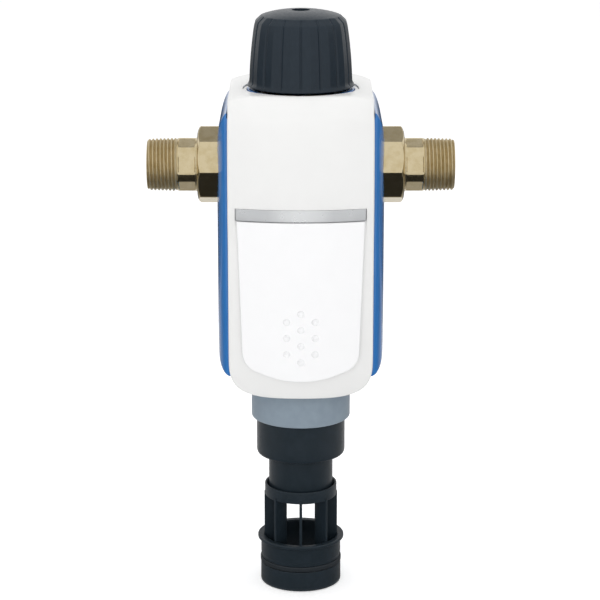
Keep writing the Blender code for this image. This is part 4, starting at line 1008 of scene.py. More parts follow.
    def pillars(self) -> list[bpy.types.Object]:
        """The four screw pillars behind the front wall."""
        made = []
        for number, (across, height) in enumerate(SideShell.boss_places()):
            bend = self.bow * (across / self.half_width) ** 2
            front = self.slide_face + bend + self.pillar_sink
            outline = [(0.0, front), (self.pillar, front), (self.pillar, self.pillar_end),
                       (self.screw_bore, self.pillar_end), (self.screw_bore, self.screw_end),
                       (0.0, self.screw_end)]
            made.append(turned("pillar_%d" % number, outline, 24, Axis.DEPTH, (across, height)))
        return made


@dataclass
class SideShell:
    """One of the two glossy side shells, with the cup round its union nut."""

    side: Side
    half_width: float = 51.7
    wall: float = 2.5
    seam: float = 0.15
    fit: float = 0.04               # gap beside the cover
    rear: float = 57.0
    rear_flat: float = 28.0
    rear_corner: Flat = (23.7, 27.0)
    front: float = -37.1
    front_corner: Flat = (6.7, 25.7)
    cover_half: float = 45.0
    shoulder: Flat = (6.4, 20.0)
    shoulder_top: float = 39.0
    shoulder_power: float = 1.6
    bottom: float = -127.8
    bottom_corner: float = 12.0
    bottom_edge: float = 3.0
    rim: float = 35.7
    crease: float = 1.0             # width over which two faces blend into each other
    cup_radius: float = 25.2
    cup_depth: float = 8.2
    cup_wall: float = 2.0
    nut_start: float = 46.0
    spigot: float = 20.95
    bowl_hole: float = 32.2
    boss: float = 5.0
    boss_start: float = 40.0
    screw_way: tuple[Flat, ...] = (
        (0.0, 30.0), (1.8, 30.0), (1.8, 46.0), (3.5, 46.0), (3.5, 56.3), (4.2, 57.02), (4.2, 70.0),
        (0.0, 70.0))
    flare: float = 0.8              # widening where the cup meets the outer face

    @staticmethod
    def boss_places() -> list[Flat]:
        """The four screw places as (X, Z)."""
        return [(across, height) for height in (26.0, -116.0) for across in (-38.0, 38.0)]

    def limit(self, height: float, inset: float) -> float:
        """How wide the shell may be at a height, seen from the front."""
        edge = self.cover_half + self.fit
        foot = self.shoulder_top - self.shoulder[1]
        wide, tall = self.shoulder[0] - inset, self.shoulder[1] - inset
        if height > foot:
            ratio = min((height - foot) / tall, 1.0)
            power = self.shoulder_power
            return edge + wide * (1.0 - ratio ** power) ** (1.0 / power)
        turn = self.bottom + self.bottom_corner
        if height < turn:
            radius = self.bottom_corner - inset
            drop = min((turn - height) / radius, 1.0)
            return self.half_width - self.bottom_corner + radius * math.sqrt(1.0 - drop ** 2)
        slack = min(foot - height, height - turn) * 0.25
        return self.half_width - inset + min(slack, 2.0 * self.crease)

    def plan(self, inset: float, shrink: float = 0.0) -> list[Flat]:
        """The shell from above, from the seam at the back round to the front.

        Args:
            inset: How far the outline lies inside the outer face.
            shrink: How much more it is drawn in at the back and the front.

        Returns:
            Points of (X, Y) for the right side.
        """
        back = self.rear - inset - shrink
        deep = self.rear_corner[1] - inset - shrink
        wide = self.rear_corner[0] - inset
        points = [(across, back) for across in spread(self.seam, self.rear_flat, 6)[:-1]]
        for angle in spread(QUARTER_TURN, 0.0, 26):
            points.append((self.rear_flat + wide * math.cos(angle),
                           self.rear - self.rear_corner[1] + deep * math.sin(angle)))
        centre = self.front + self.front_corner[1]
        points += [(self.half_width - inset, depth)
                   for depth in spread(self.rear - self.rear_corner[1], centre, 16)[1:-1]]
        wide, deep = self.front_corner[0] - inset, self.front_corner[1] - inset - shrink
        for angle in spread(0.0, -QUARTER_TURN, 30):
            points.append((self.cover_half + wide * math.cos(angle),
                           centre + deep * math.sin(angle)))
        return points

    def heights(self, inset: float) -> list[tuple[float, float]]:
        """Rows from the top down, as (Z, how much the back and the front are drawn in)."""
        foot = self.shoulder_top - self.shoulder[1]
        tall = self.shoulder[1] - inset
        rows = [(foot + tall * math.cos(angle) ** 1.2, 0.0)
                for angle in spread(0.0, QUARTER_TURN, 30)]
        turn = self.bottom + self.bottom_corner
        rows += [(height, 0.0) for height in spread(foot, turn, 18)[1:]]
        low = self.bottom + inset
        round_start = low + self.bottom_edge
        rows += [(height, 0.0) for height in spread(turn, round_start, 8)[1:]]
        for angle in spread(0.0, QUARTER_TURN, 8)[1:]:
            rows.append((round_start - self.bottom_edge * math.sin(angle),
                         self.bottom_edge * (1.0 - math.cos(angle))))
        return rows

    def solid(self, name: str, inset: float) -> bpy.types.Object:
        """The shell as a full block, or the hollow inside its wall.

        Args:
            name: The object's name.
            inset: Nothing for the block, the wall for the hollow.

        Returns:
            The closed solid for this side.
        """
        skin = Skin()
        rows = []
        for height, shrink in self.heights(inset):
            edge = self.limit(height, inset)
            points = [(soft_min(across, edge, self.crease), depth)
                      for across, depth in self.plan(inset, shrink)]
            if inset:
                lip = self.cover_half - 3.0
                front = self.front + inset
                points += [(lip, front), (lip, front - 50.0), (-10.0, front - 50.0),
                           (-10.0, self.rear - inset - shrink)]
            else:
                points.append((self.seam, self.front))
            rows.append([(across * self.side.value, depth, height) for across, depth in points])
        skin.loft(rows, capped=True)
        return skin.piece(name)

    def sideways(self, name: str, outline: Sequence[Flat]) -> bpy.types.Object:
        """A helper turned about the pipe run, outwards on this side."""
        return turned(name, outline, 128, Axis.PIPE, flip=float(self.side.value))

    def build(self, finishes: Finishes) -> None:
        """Makes the shell and dresses it."""
        label = self.side.label
        floor = self.half_width - self.cup_depth
        hollow = self.solid("hollow_" + label, self.wall)
        stays = [self.sideways("cup_" + label, [
            (0.0, floor), (self.cup_radius + self.cup_wall, floor),
            (self.cup_radius + self.cup_wall, 80.0), (0.0, 80.0)])]
        places = [spot for spot in self.boss_places() if spot[0] * self.side.value > 0.0]
        for number, spot in enumerate(places):
            stays.append(turned("boss_%s_%d" % (label, number), [
                (0.0, self.boss_start), (self.boss, self.boss_start), (self.boss, 70.0),
                (0.0, 70.0)], 32, Axis.DEPTH, spot))
        shaped(hollow, Cut.AWAY, *stays)
        shell = self.solid("shell_" + label, 0.0)
        edge, flare = self.cover_half + self.fit, self.flare
        tools = [
            hollow,
            box_tool("top_" + label, (-edge, -70.0, self.rim), (edge, 70.0, 60.0)),
            self.sideways("nut_room_" + label, [
                (0.0, self.nut_start - SEAT), (self.cup_radius, self.nut_start - SEAT),
                (self.cup_radius, self.half_width - flare),
                (self.cup_radius + flare * 0.3, self.half_width - flare * 0.3),
                (self.cup_radius + flare * 1.1, self.half_width + 0.02),
                (self.cup_radius + 20.0, self.half_width + 20.0), (0.0, self.half_width + 20.0)]),
            self.sideways("spigot_eye_" + label, [
                (0.0, floor - OVERSHOOT), (self.spigot, floor - OVERSHOOT),
                (self.spigot, self.nut_start + 1.0), (0.0, self.nut_start + 1.0)]),
            turned("bowl_hole_" + label, [
                (0.0, self.bottom - OVERSHOOT), (self.bowl_hole, self.bottom - OVERSHOOT),
                (self.bowl_hole, self.bottom + OVERSHOOT), (0.0, self.bottom + OVERSHOOT)], 128)]
        for number, spot in enumerate(places):
            tools.append(turned("screw_way_%s_%d" % (label, number), self.screw_way, 32,
                                Axis.DEPTH, spot))
        shaped(shell, Cut.AWAY, *tools, sharp=28.0)
        place(shell, "housing", "blue_plastic", finishes.blue, "side_shell_" + label)


@dataclass
class SliderAndStrip:
    """The inspection slider with its grip dimples, and the silver strip above it."""

    bow: float = 7.0
    cover_half: float = 45.0
    front: float = -50.0
    back: float = -47.75
    strip_back: float = -48.4
    strip_top: float = -18.45
    strip_bottom: float = -25.9
    strip_half: float = 40.0
    strip_edge: float = 0.4
    top: float = -26.2
    top_half: float = 39.2
    low_half: float = 36.2
    bottom: float = -126.2
    corner: float = 13.0
    sag: float = 5.0
    flare: float = 2.5
    edge: float = 0.7
    dimple_radius: float = 2.25
    dimple_depth: float = 1.7
    dimple_top: float = -83.0
    dimple_step: Flat = (8.8, 5.1)
    hook_neck: Flat = (17.5, 19.7)
    hook_flange: Flat = (18.6, 22.9)

    def bend(self, across: float) -> float:
        """How far the front lies back at a place across it."""
        return self.bow * (across / self.cover_half) ** 2

    def slider_outline(self, inset: float) -> list[Flat]:
        """Front view of the slider, drawn in by the inset."""
        turn = self.bottom + self.sag + self.corner
        radius = self.corner - inset
        half: list[Flat] = [(across, self.top - inset)
                            for across in spread(0.0, self.top_half - inset, 24)]
        half += [(self.top_half - inset + (self.low_half - self.top_half) * share,
                  self.top - inset + (turn - self.top + inset) * share)
                 for share in spread(0.0, 1.0, 40)[1:-1]]
        centre = self.low_half - self.corner
        half += [(centre + radius * math.cos(angle), turn - radius * math.sin(angle))
                 for angle in spread(0.0, math.radians(76.0), 16)]
        start = half[-1]
        floor = self.bottom + inset
        for share in spread(0.0, 1.0, 14)[1:]:
            across = start[0] * (1.0 - share)
            half.append((across, floor + (start[1] - floor) * (across / start[0]) ** 2))
        return half + [(-across, up) for across, up in reversed(half[1:-1])]

    def slider_front(self, across: float, up: float) -> float:
        """Y of the slider's face, which flares forward towards its lower edge."""
        share = max(self.top - up, 0.0) / (self.top - self.bottom)
        return self.front - self.flare * share + self.bend(across)

    def slider(self) -> bpy.types.Object:
        """The slider's plate, bowed like the cover, with rounded edges."""
        base = self.slider_outline(self.edge)
        low, high = min(up for _, up in base), max(up for _, up in base)
        margin = (high - low) * 0.25

        def drawn_in(outline: list[Flat], shrink: float,
                     deep: Callable[[float, float], float]) -> list[Point]:
            """An outline's points, drawn in towards the plate's middle line."""
            row = []
            for across, up in outline:
                centre = min(max(up, low + margin), high - margin)
                here, there = across * shrink, centre + (up - centre) * shrink
                row.append((here, deep(here, there), there))
            return row

        def behind(across: float, up: float) -> float:
            """Y of the slider's back, which is the same at all heights."""
            return self.back + self.bend(across)

        rows = [drawn_in(base, shrink, self.slider_front) for shrink in spread(0.04, 1.0, 26)]
        for angle in spread(0.0, QUARTER_TURN, 5)[1:]:
            drop = self.edge * (1.0 - math.cos(angle))
            edge = self.slider_outline(self.edge * (1.0 - math.sin(angle)))
            rows.append([(across, self.slider_front(across, up) + drop, up) for across, up in edge])
        outside = self.slider_outline(0.0)
        rows += [drawn_in(outside, shrink, behind) for shrink in spread(1.0, 0.04, 10)]
        skin = Skin()
        skin.loft(rows, capped=True)
        return skin.piece("slider", 40.0)

    def strip(self) -> bpy.types.Object:
        """The strip, drawn across along the cover's bow, with rounded front edges."""
        rows = []
        for across in spread(-self.strip_half, self.strip_half, 160):
            near = max(self.strip_edge - (self.strip_half - abs(across)), 0.0)
            drop = self.strip_edge - math.sqrt(self.strip_edge ** 2 - near ** 2)
            profile = softened([
                (self.front + drop, self.strip_bottom + drop, self.strip_edge),
                (self.front + drop, self.strip_top - drop, self.strip_edge),
                (self.strip_back, self.strip_top - drop, 0.0),
                (self.strip_back, self.strip_bottom + drop, 0.0)], closed=True)
            rows.append([(across, deep + self.bend(across), up) for deep, up in profile])
        skin = Skin()
        skin.loft(rows, capped=True)
        return skin.piece("strip", 40.0)

    def dimple_tree(self) -> bpy.types.NodeTree:
        """Geometry tree that sets lens shaped cutters on the points of the grip pattern."""
        tree, given = new_tree("grip_dimples", Radius="Float")
        ball = add_node(tree, "GeometryNodeMeshIcoSphere",
                        {"Radius": given["Radius"], "Subdivisions": 5})
        copies = add_node(tree, "GeometryNodeInstanceOnPoints",
                          {"Points": given["Geometry"], "Instance": ball.outputs["Mesh"]})
        return end_tree(tree, copies.outputs[0], given["Material"])

    def dimples(self, finishes: Finishes) -> bpy.types.Object:
        """The cutters of the ten grip dimples."""
        lens = (self.dimple_radius ** 2 + self.dimple_depth ** 2) / (2.0 * self.dimple_depth)
        across, down = self.dimple_step
        spots = [(0.0, self.dimple_top - 2.0 * down * row) for row in range(4)]
        spots += [(side * across, self.dimple_top - down * (2.0 * row + 1.0))
                  for side in (-1.0, 1.0) for row in range(3)]
        skin = Skin()
        skin.row((x, self.slider_front(x, z) - lens + self.dimple_depth, z) for x, z in spots)
        cutter = skin.piece("dimples")
        return grown(cutter, self.dimple_tree(),
                     {"Radius": lens * MM, "Material": finishes.white})

    def hooks(self) -> list[bpy.types.Object]:
        """The two hooks that run in the window's sides."""
        made = []
        for side in Side:
            neck = sorted(side.value * edge for edge in self.hook_neck)
            flange = sorted(side.value * edge for edge in self.hook_flange)
            made.append(box_tool("neck_" + side.label, (neck[0], self.back - 0.5, -52.0),
                                 (neck[1], -41.5, -36.0)))
            made.append(box_tool("flange_" + side.label, (flange[0], -43.0, -51.5),
                                 (flange[1], -41.6, -36.5)))
        return made

    def build(self, finishes: Finishes) -> None:
        """Makes both and dresses them."""
        slider = self.slider()
        shaped(slider, Cut.AWAY, self.dimples(finishes), sharp=26.0)
        shaped(slider, Cut.JOIN, *self.hooks(), sharp=26.0)
        # The slider wears the copy of the white ABS whose base colour is painted lighter.
        place(slider, "inspection_slider", "white_plastic", finishes.panel, "inspection_slider")
        place(self.strip(), "housing", "silver_trim", finishes.silver, "trim_strip")


# Handwheel and rings


@dataclass
class Handwheel:
    """The fluted handwheel with its screw, and the two rings in its well."""

    top: float = 96.6
    base: float = 50.0
    side: tuple[Flat, ...] = (
        (5.6, 96.6), (12.0, 96.15), (19.0, 94.95), (24.3, 93.45), (24.9, 93.1), (28.1, 90.2),
        (28.6, 89.4), (29.6, 85.0), (31.1, 72.6), (31.9, 62.7), (32.2, 56.0), (32.35, 53.4),
        (32.65, 51.7), (33.1, 50.4))
    wall: float = 3.4
    flutes: int = 16
    flute_depth: float = 0.7
    flute_width: float = 1.1
    steps: int = 640
    flute_top: float = 93.6
    flute_inner: float = 23.6       # no flute runs further in than this
    recess: float = 5.6
    recess_depth: float = 3.8
    hub: float = 9.0
    hub_bottom: float = 52.0
    bore: float = 5.3
    screw_bore: float = 2.3
    ring_bottom: float = 43.3

    def tree(self) -> bpy.types.NodeTree:
        """Geometry tree that draws narrow flutes into a turned grip.

        It moves each point inwards by the flute's depth where the angle round the axis is close
        to one of the flutes, between two heights, and flattens the faces between them.
        """
        tree, given = new_tree("grip_flutes", **dict.fromkeys(
            ("Flutes", "Depth", "Width", "Flatness", "Low", "High", "Fade", "Inner"), "Float"))
        sums = partial(maths, tree)
        spot = add_node(tree, "GeometryNodeInputPosition").outputs[0]
        parts = add_node(tree, "ShaderNodeSeparateXYZ", {0: spot}).outputs
        radius = sums("SQRT", sums("ADD", sums("MULTIPLY", parts[0], parts[0]),
                                   sums("MULTIPLY", parts[1], parts[1])))
        angle = sums("ADD", sums("ARCTAN2", parts[1], parts[0]), math.pi / 2.0)
        pitch = sums("DIVIDE", 2.0 * math.pi, given["Flutes"])
        half = sums("MULTIPLY", pitch, 0.5)
        off = sums("WRAP", angle, half, sums("MULTIPLY", half, -1.0))
        distance = sums("DIVIDE", sums("MULTIPLY", off, radius), given["Width"])
        groove = sums("EXPONENT", sums("MULTIPLY", sums("POWER", sums("ABSOLUTE", distance), 2.6),
                                       -4.0))
        rise = sums("DIVIDE", sums("SUBTRACT", parts[2], given["Low"]), given["Fade"])
        fall = sums("DIVIDE", sums("SUBTRACT", given["High"], parts[2]), given["Fade"])
        window = sums("MINIMUM", sums("MINIMUM", rise, fall), 1.0)
        window = sums("MULTIPLY", sums("MAXIMUM", window, 0.0),
                      sums("GREATER_THAN", radius, given["Inner"]))
        chord = sums("SUBTRACT", 1.0, sums("DIVIDE", sums("COSINE", half), sums("COSINE", off)))
        flat = sums("MULTIPLY", sums("MULTIPLY", chord, radius), given["Flatness"])
        dip = sums("MULTIPLY", sums("ADD", sums("MULTIPLY", groove, given["Depth"]), flat), window)
        share = sums("DIVIDE", sums("MULTIPLY", dip, -1.0), radius)
        shift = add_node(tree, "ShaderNodeCombineXYZ",
                         {0: sums("MULTIPLY", parts[0], share),
                          1: sums("MULTIPLY", parts[1], share)})
        moved = add_node(tree, "GeometryNodeSetPosition",
                         {"Geometry": given["Geometry"], "Offset": shift.outputs[0]})
        return end_tree(tree, moved.outputs[0], given["Material"])

    def build(self, finishes: Finishes) -> None:
        """Makes the handwheel, its screw and the rings, and dresses them."""
        outside = smooth_path(self.side, 0.7)
        rim, lip = self.side[6], self.side[-1]
        ceiling = rim[1] - 2.0
        recess_floor = self.top - self.recess_depth
        bore_end = recess_floor - 8.0
        inner = [(lip[0] - 0.1, self.base + 0.2), (lip[0] - 0.5, self.base),
                 (lip[0] - self.wall, self.base), (rim[0] - self.wall, ceiling),
                 (self.hub, ceiling), (self.hub, self.hub_bottom), (self.bore, self.hub_bottom),
                 (self.bore, bore_end), (self.screw_bore, bore_end),
                 (self.screw_bore, recess_floor), (self.recess, recess_floor)]
        wheel = turned("grip", outside + inner, self.steps)
        grown(wheel, self.tree(), {
            "Flutes": float(self.flutes), "Depth": self.flute_depth * MM,
            "Width": self.flute_width * MM, "Flatness": 0.9, "Low": (self.base + 1.2) * MM,
            "High": self.flute_top * MM, "Fade": 1.0 * MM, "Inner": self.flute_inner * MM,
            "Material": finishes.grip},
            sharp=50.0)
        place(wheel, "handwheel", "black_plastic", finishes.grip, "handwheel")
        floor = recess_floor + 0.25
        head = softened([(0.0, floor + 1.0, 0.0), (1.7, floor + 1.0, 0.1), (1.9, floor + 2.1, 0.1),
                         (3.6, floor + 2.1, 0.4), (4.3, floor + 1.4, 0.3), (4.3, floor, 0.1),
                         (2.0, floor, 0.0), (2.0, 74.0, 0.0), (0.0, 73.6, 0.0)], closed=False)
        screw = turned("wheel_screw", head, 48)
        place(screw, "handwheel", "steel", finishes.steel, "handwheel_screw")
        month_ring = ring("month_ring", 35.7, 33.4, 47.6, self.ring_bottom, 0.5, 160)
        place(month_ring, "interval_ring", "white_plastic", finishes.white, "interval_ring")
        base_ring = ring("wheel_base", 33.1, 30.2, 48.3, self.ring_bottom, 0.5, 160)
        place(base_ring, "housing", "blue_plastic", finishes.blue, "base_ring")


# Pipe run


def plain(value: float) -> Callable[[float], float]:
    """The radius of a round row, in every direction."""
    return lambda angle: value


@dataclass
class PipeUnion:
    """Octagonal union nut and threaded tail on one side of the head."""

    side: Side
    nut_face: float = 64.2
    nut_start: float = 46.0
    lip_start: float = 59.9
    across_flats: float = 45.0
    flat_turn: float = 22.5         # degrees from facing forward to the first flat
    chamfer: float = 2.3            # length of the rounded chamfer along the run
    chamfer_power: float = 2.7
    rim: float = 17.8
    lip_bore: float = 17.2
    thread_bore: float = 21.25
    wrench_start: float = 64.8
    wrench_flats: float = 31.0
    wrench_radius: float = 16.5
    wrench_turn: float = 19.0
    collar: float = 16.9
    tail_start: float = 56.3
    flange: float = 19.45
    flange_end: float = 59.6
    thread_start: float = 76.3
    thread_end: float = 95.349
    thread_radius: float = 16.625
    thread_taper: float = 0.6
    thread_depth: float = 1.3
    pitch: float = 2.309
    bore: float = 12.5
    steps: int = 288

    def around(self, skin: Skin, rows: Sequence[tuple[float, Callable[[float], float]]]) -> None:
        """Adds a closed surface of rows round the pipe run.

        Args:
            skin: What the surface is added to.
            rows: For each row its place along the run, and its radius as a function of the angle.
        """
        angles = [2.0 * math.pi * step / self.steps for step in range(self.steps)]
        skin.loft([[(place * self.side.value, radius(angle) * math.cos(angle),
                     radius(angle) * math.sin(angle)) for angle in angles]
                   for place, radius in rows], looped=True)

    @staticmethod
    def polygon(angle: float, apothem: float, sides: int, turn: float) -> float:
        """Radius of a regular polygon in a direction.

        Args:
            angle: Direction, in radians.
            apothem: Distance from the middle to a flat.
            sides: How many flats it has.
            turn: Direction of one flat's middle, in degrees.

        Returns:
            The distance to the outline.
        """
        pitch = 2.0 * math.pi / sides
        off = math.remainder(angle - math.radians(turn), pitch)
        return apothem / math.cos(off)

    def nut(self) -> bpy.types.Object:
        """The octagonal nut, with its chamfered outer face."""
        corner = self.across_flats / 2.0 / math.cos(math.pi / 8.0)

        def outside(place: float) -> Callable[[float], float]:
            """The nut's outline at a place along the run."""
            depth = (self.nut_face - place) / self.chamfer
            face = self.rim + (corner - self.rim) * depth ** (1.0 / self.chamfer_power)
            back = corner - 1.2 + (place - self.nut_start) * 2.25

            def radius(angle: float) -> float:
                """Radius in one direction."""
                flats = self.polygon(angle, self.across_flats / 2.0, 8, self.flat_turn)
                flats = soft_min(flats, corner - 0.12, 0.35)
                return soft_min(soft_min(flats, face, 0.25), back, 0.3)
            return radius

        places = spread(self.nut_start, self.nut_face - 3.4, 40)
        places += [self.nut_face - 3.4 * share ** 2 for share in spread(1.0, 0.0, 40)[1:]]
        rows = [(place, outside(place)) for place in places]
        rows += [(self.nut_face, plain(self.lip_bore + 0.25)),
                 (self.nut_face - 0.25, plain(self.lip_bore)),
                 (self.lip_start, plain(self.lip_bore)), (self.lip_start, plain(self.thread_bore)),
                 (self.nut_start, plain(self.thread_bore))]
        skin = Skin()
        self.around(skin, rows)
        return skin.piece("union_nut_" + self.side.label + "_turned", 38.0)

    def tail(self) -> bpy.types.Object:
        """The tail: flange, collar, wrench flats and taper thread."""
        length = self.thread_end - self.thread_start

        def thread(place: float) -> Callable[[float], float]:
            """The thread's outline at a place: a ridge that winds round the run."""
            taper = self.thread_taper * (place - self.thread_start) / length
            lead = min((self.thread_end - place) / 1.4, 1.0)
            run_out = min(max((place - self.thread_start - 0.4) / 1.6, 0.0), 1.0)

            def radius(angle: float) -> float:
                """Radius in one direction."""
                turn = place / self.pitch - self.side.value * angle / (2.0 * math.pi)
                ridge = abs(2.0 * (turn - math.floor(turn)) - 1.0)
                ridge = min(ridge / 0.78, 1.0)
                crest = self.thread_radius - taper - (1.0 - lead) * 1.1
                root = self.thread_radius - taper - self.thread_depth
                root = root + (self.wrench_radius - 0.55 - root) * (1.0 - run_out)
                return max(min(root + self.thread_depth * ridge * run_out, crest), root - 0.2)
            return radius

        def flats(blend: float) -> Callable[[float], float]:
            """The wrench section, from round (0) to its full flats (1)."""
            def radius(angle: float) -> float:
                """Radius in one direction."""
                flat = self.polygon(angle, self.wrench_flats / 2.0, 6, 90.0 + self.wrench_turn)
                full = soft_min(flat, self.wrench_radius, 0.25)
                return full * blend + self.wrench_radius * (1.0 - blend)
            return radius

        rows = [(self.tail_start, plain(self.flange)), (self.flange_end, plain(self.flange)),
                (self.flange_end, plain(self.collar)),
                (self.wrench_start - 0.2, plain(self.collar)),
                (self.wrench_start, plain(self.collar - 0.2)),
                (self.wrench_start, plain(self.wrench_radius)),
                (self.wrench_start + 0.5, flats(0.0)), (self.wrench_start + 0.9, flats(1.0))]
        rows += [(place, flats(1.0)) for place in
                 spread(self.wrench_start + 0.9, self.thread_start - 0.9, 6)[1:]]
        rows += [(self.thread_start - 0.5, flats(0.0)),
                 (self.thread_start, plain(self.wrench_radius - 0.1)),
                 (self.thread_start + 0.3, plain(self.wrench_radius - 0.5))]
        rows += [(place, thread(place)) for place in
                 spread(self.thread_start + 0.35, self.thread_end, 150)]
        rows += [(self.thread_end, plain(self.bore + 0.6)),
                 (self.thread_end - 0.6, plain(self.bore)), (self.tail_start, plain(self.bore))]
        skin = Skin()
        self.around(skin, rows)
        return skin.piece("tail_" + self.side.label, 30.0)

    def build(self, finishes: Finishes) -> None:
        """Makes the nut and the tail, and dresses them."""
        place(self.nut(), "housing", "nut_brass", finishes.brass, "union_nut_" + self.side.label)
        place(self.tail(), "housing", "nut_brass", finishes.brass, "pipe_tail_" + self.side.label)


# Flush valve and drain


@dataclass
class FlushValve:
    """Grey collar ring, black valve housing with its drain tube."""

    collar: float = 31.4
    collar_top: float = -126.0
    collar_bottom: float = -163.0
    neck: float = 28.2
    neck_bottom: float = -188.0
    tube: float = 20.5
    tube_bore: float = 17.5
    tube_bottom: float = -213.6

    def build(self, finishes: Finishes) -> None:
        """Makes both and dresses them."""
        lip = self.collar_bottom + 2.7
        collar = turned("collar", softened([
            (self.collar, self.collar_top, 0.8), (self.collar, self.collar_bottom, 1.0),
            (self.neck + SEAT, self.collar_bottom, 0.4), (self.neck + SEAT, lip, 0.1),
            (29.1, lip, 0.1), (29.1, self.collar_top, 0.4)], closed=True), 160)
        place(collar, "housing", "grey_plastic", finishes.grey, "collar_ring")
        housing = turned("valve_body", softened([
            (15.0, -137.0, 0.6), (15.0, -149.0, 0.4), (26.0, -149.0, 0.5), (26.0, -150.5, 0.1),
            (23.8, -150.5, 0.1), (23.8, -153.5, 0.1), (26.0, -153.5, 0.1), (26.0, -157.0, 0.1),
            (28.8, -157.0, 0.2), (28.8, -160.0, 0.2), (self.neck, -160.0, 0.1),
            (self.neck, -179.0, 0.0), (self.neck, self.neck_bottom, 2.6),
            (self.tube + 0.4, self.neck_bottom, 0.5), (self.tube, self.neck_bottom - 1.5, 0.5),
            (self.tube, self.tube_bottom, 0.5), (self.tube_bore, self.tube_bottom, 0.4),
            (self.tube_bore, -176.0, 0.5), (9.0, -176.0, 0.4), (9.0, -153.5, 0.3),
            (8.3, -151.8, 0.2), (8.3, -137.0, 0.3)], closed=True), 160)
        place(housing, "housing", "black_plastic", finishes.black, "valve_housing")


@dataclass
class DrainCage:
    """The drain cage: ring, fins across the air gap, flange and spigot."""

    ring_radius: float = 23.1
    ring_top: float = -208.8
    ring_bottom: float = -216.5
    ledge: float = 18.5
    ledge_top: float = -213.9
    tube: float = 20.8
    fins: int = 8
    fin_inner: float = 13.5
    fin_outer: float = 23.5
    fin_thickness: float = 1.8
    flange: float = 27.7
    flange_top: float = -243.8
    flange_bottom: float = -246.0
    spigot: float = 25.9
    bore: float = 23.1
    bottom: float = -274.9

    def fin_tree(self) -> bpy.types.NodeTree:
        """Geometry tree that sets a fin at equal turns about the drain's axis."""
        tree, given = new_tree("cage_fins", Fins="Int")
        spots = add_node(tree, "GeometryNodePoints",
                         {"Count": given["Fins"], "Position": (0, 0, 0)})
        number = add_node(tree, "GeometryNodeInputIndex").outputs[0]
        turn = maths(tree, "MULTIPLY", maths(tree, "DIVIDE", number, given["Fins"]), 2.0 * math.pi)
        around = add_node(tree, "ShaderNodeCombineXYZ", {2: turn})
        copies = add_node(tree, "GeometryNodeInstanceOnPoints",
                          {"Points": spots.outputs[0], "Instance": given["Geometry"],
                           "Rotation": around.outputs[0]})
        return end_tree(tree, copies.outputs[0], given["Material"])

    def fin(self) -> bpy.types.Object:
        """One fin on the +X side, with rounded long edges."""
        half = self.fin_thickness / 2.0
        outline = softened([(self.fin_inner, -half, 0.35), (self.fin_outer, -half, 0.35),
                            (self.fin_outer, half, 0.35), (self.fin_inner, half, 0.35)],
                           closed=True, steps=3)
        skin = Skin()
        skin.loft([[(x, y, z) for x, y in outline]
                   for z in (self.flange_top - 6.0, self.ring_bottom + 1.5)], capped=True)
        return skin.piece("fins", 50.0)

    def build(self, finishes: Finishes) -> None:
        """Makes the cage and its seal, and dresses them."""
        cage = turned("drain_cage_moulding", softened([
            (self.flange, self.flange_top, 0.7), (self.flange, self.flange_bottom, 0.7),
            (self.spigot - 0.2, self.flange_bottom, 0.4), (self.spigot - 0.2, -255.6, 0.5),
            (self.spigot - 0.6, -256.8, 0.5), (self.spigot - 0.6, -258.4, 0.2),
            (self.spigot - 1.5, -258.4, 0.1), (self.spigot - 1.5, -262.0, 0.1),
            (self.spigot - 0.1, -262.0, 0.4), (self.spigot, self.bottom, 0.9),
            (self.bore, self.bottom, 0.5), (self.bore, self.flange_top, 1.2)], closed=True), 160)
        collar = turned("cage_collar", softened([
            (self.ring_radius, self.ring_top, 0.5), (self.ring_radius, self.ring_bottom, 0.5),
            (self.ledge, self.ring_bottom, 0.4), (self.ledge, self.ledge_top, 0.1),
            (self.tube, self.ledge_top, 0.1), (self.tube, self.ring_top - 1.5, 0.3),
            (self.tube + 1.2, self.ring_top, 0.3)], closed=True), 160)
        fins = grown(self.fin(), self.fin_tree(), {"Fins": self.fins, "Material": finishes.black})
        shaped(cage, Cut.JOIN, collar, fins, sharp=34.0)
        place(cage, "housing", "black_plastic", finishes.black, "drain_cage")
        seal = ring("spigot_ring", self.spigot + 0.2, self.spigot - 1.2, -258.5, -261.7, 1.3, 160)
        place(seal, "housing", "black_rubber", finishes.rubber, "spigot_seal")


class Internals:
    """CAD nodes whose shape stays, with their real materials."""

    def build(self, finishes: Finishes) -> None:
        """Dresses every node that no piece replaces."""
        by_slot = {
            "cast_brass": finishes.cast, "nut_brass": finishes.brass, "acetal": finishes.acetal,
            "black_rubber": finishes.rubber, "fibre_gasket": finishes.fibre,
            "steel": finishes.steel, "screen_steel": finishes.mesh_steel,
            "black_plastic": finishes.black, "clear_plastic": finishes.clear,
            "grey_plastic": finishes.grey, "white_plastic": finishes.white,
            "blue_plastic": finishes.blue, "silver_trim": finishes.silver}
        for entry in frame["record"]["subparts"]:
            node = frame["nodes"][entry["node"]]
            if not node.hide_render:
                node.data.materials.clear()
                node.data.materials.append(by_slot[entry["material_slot"]])
                log.info("%s: kept, dressed as %s", node.name, entry["material_slot"])


# Studio


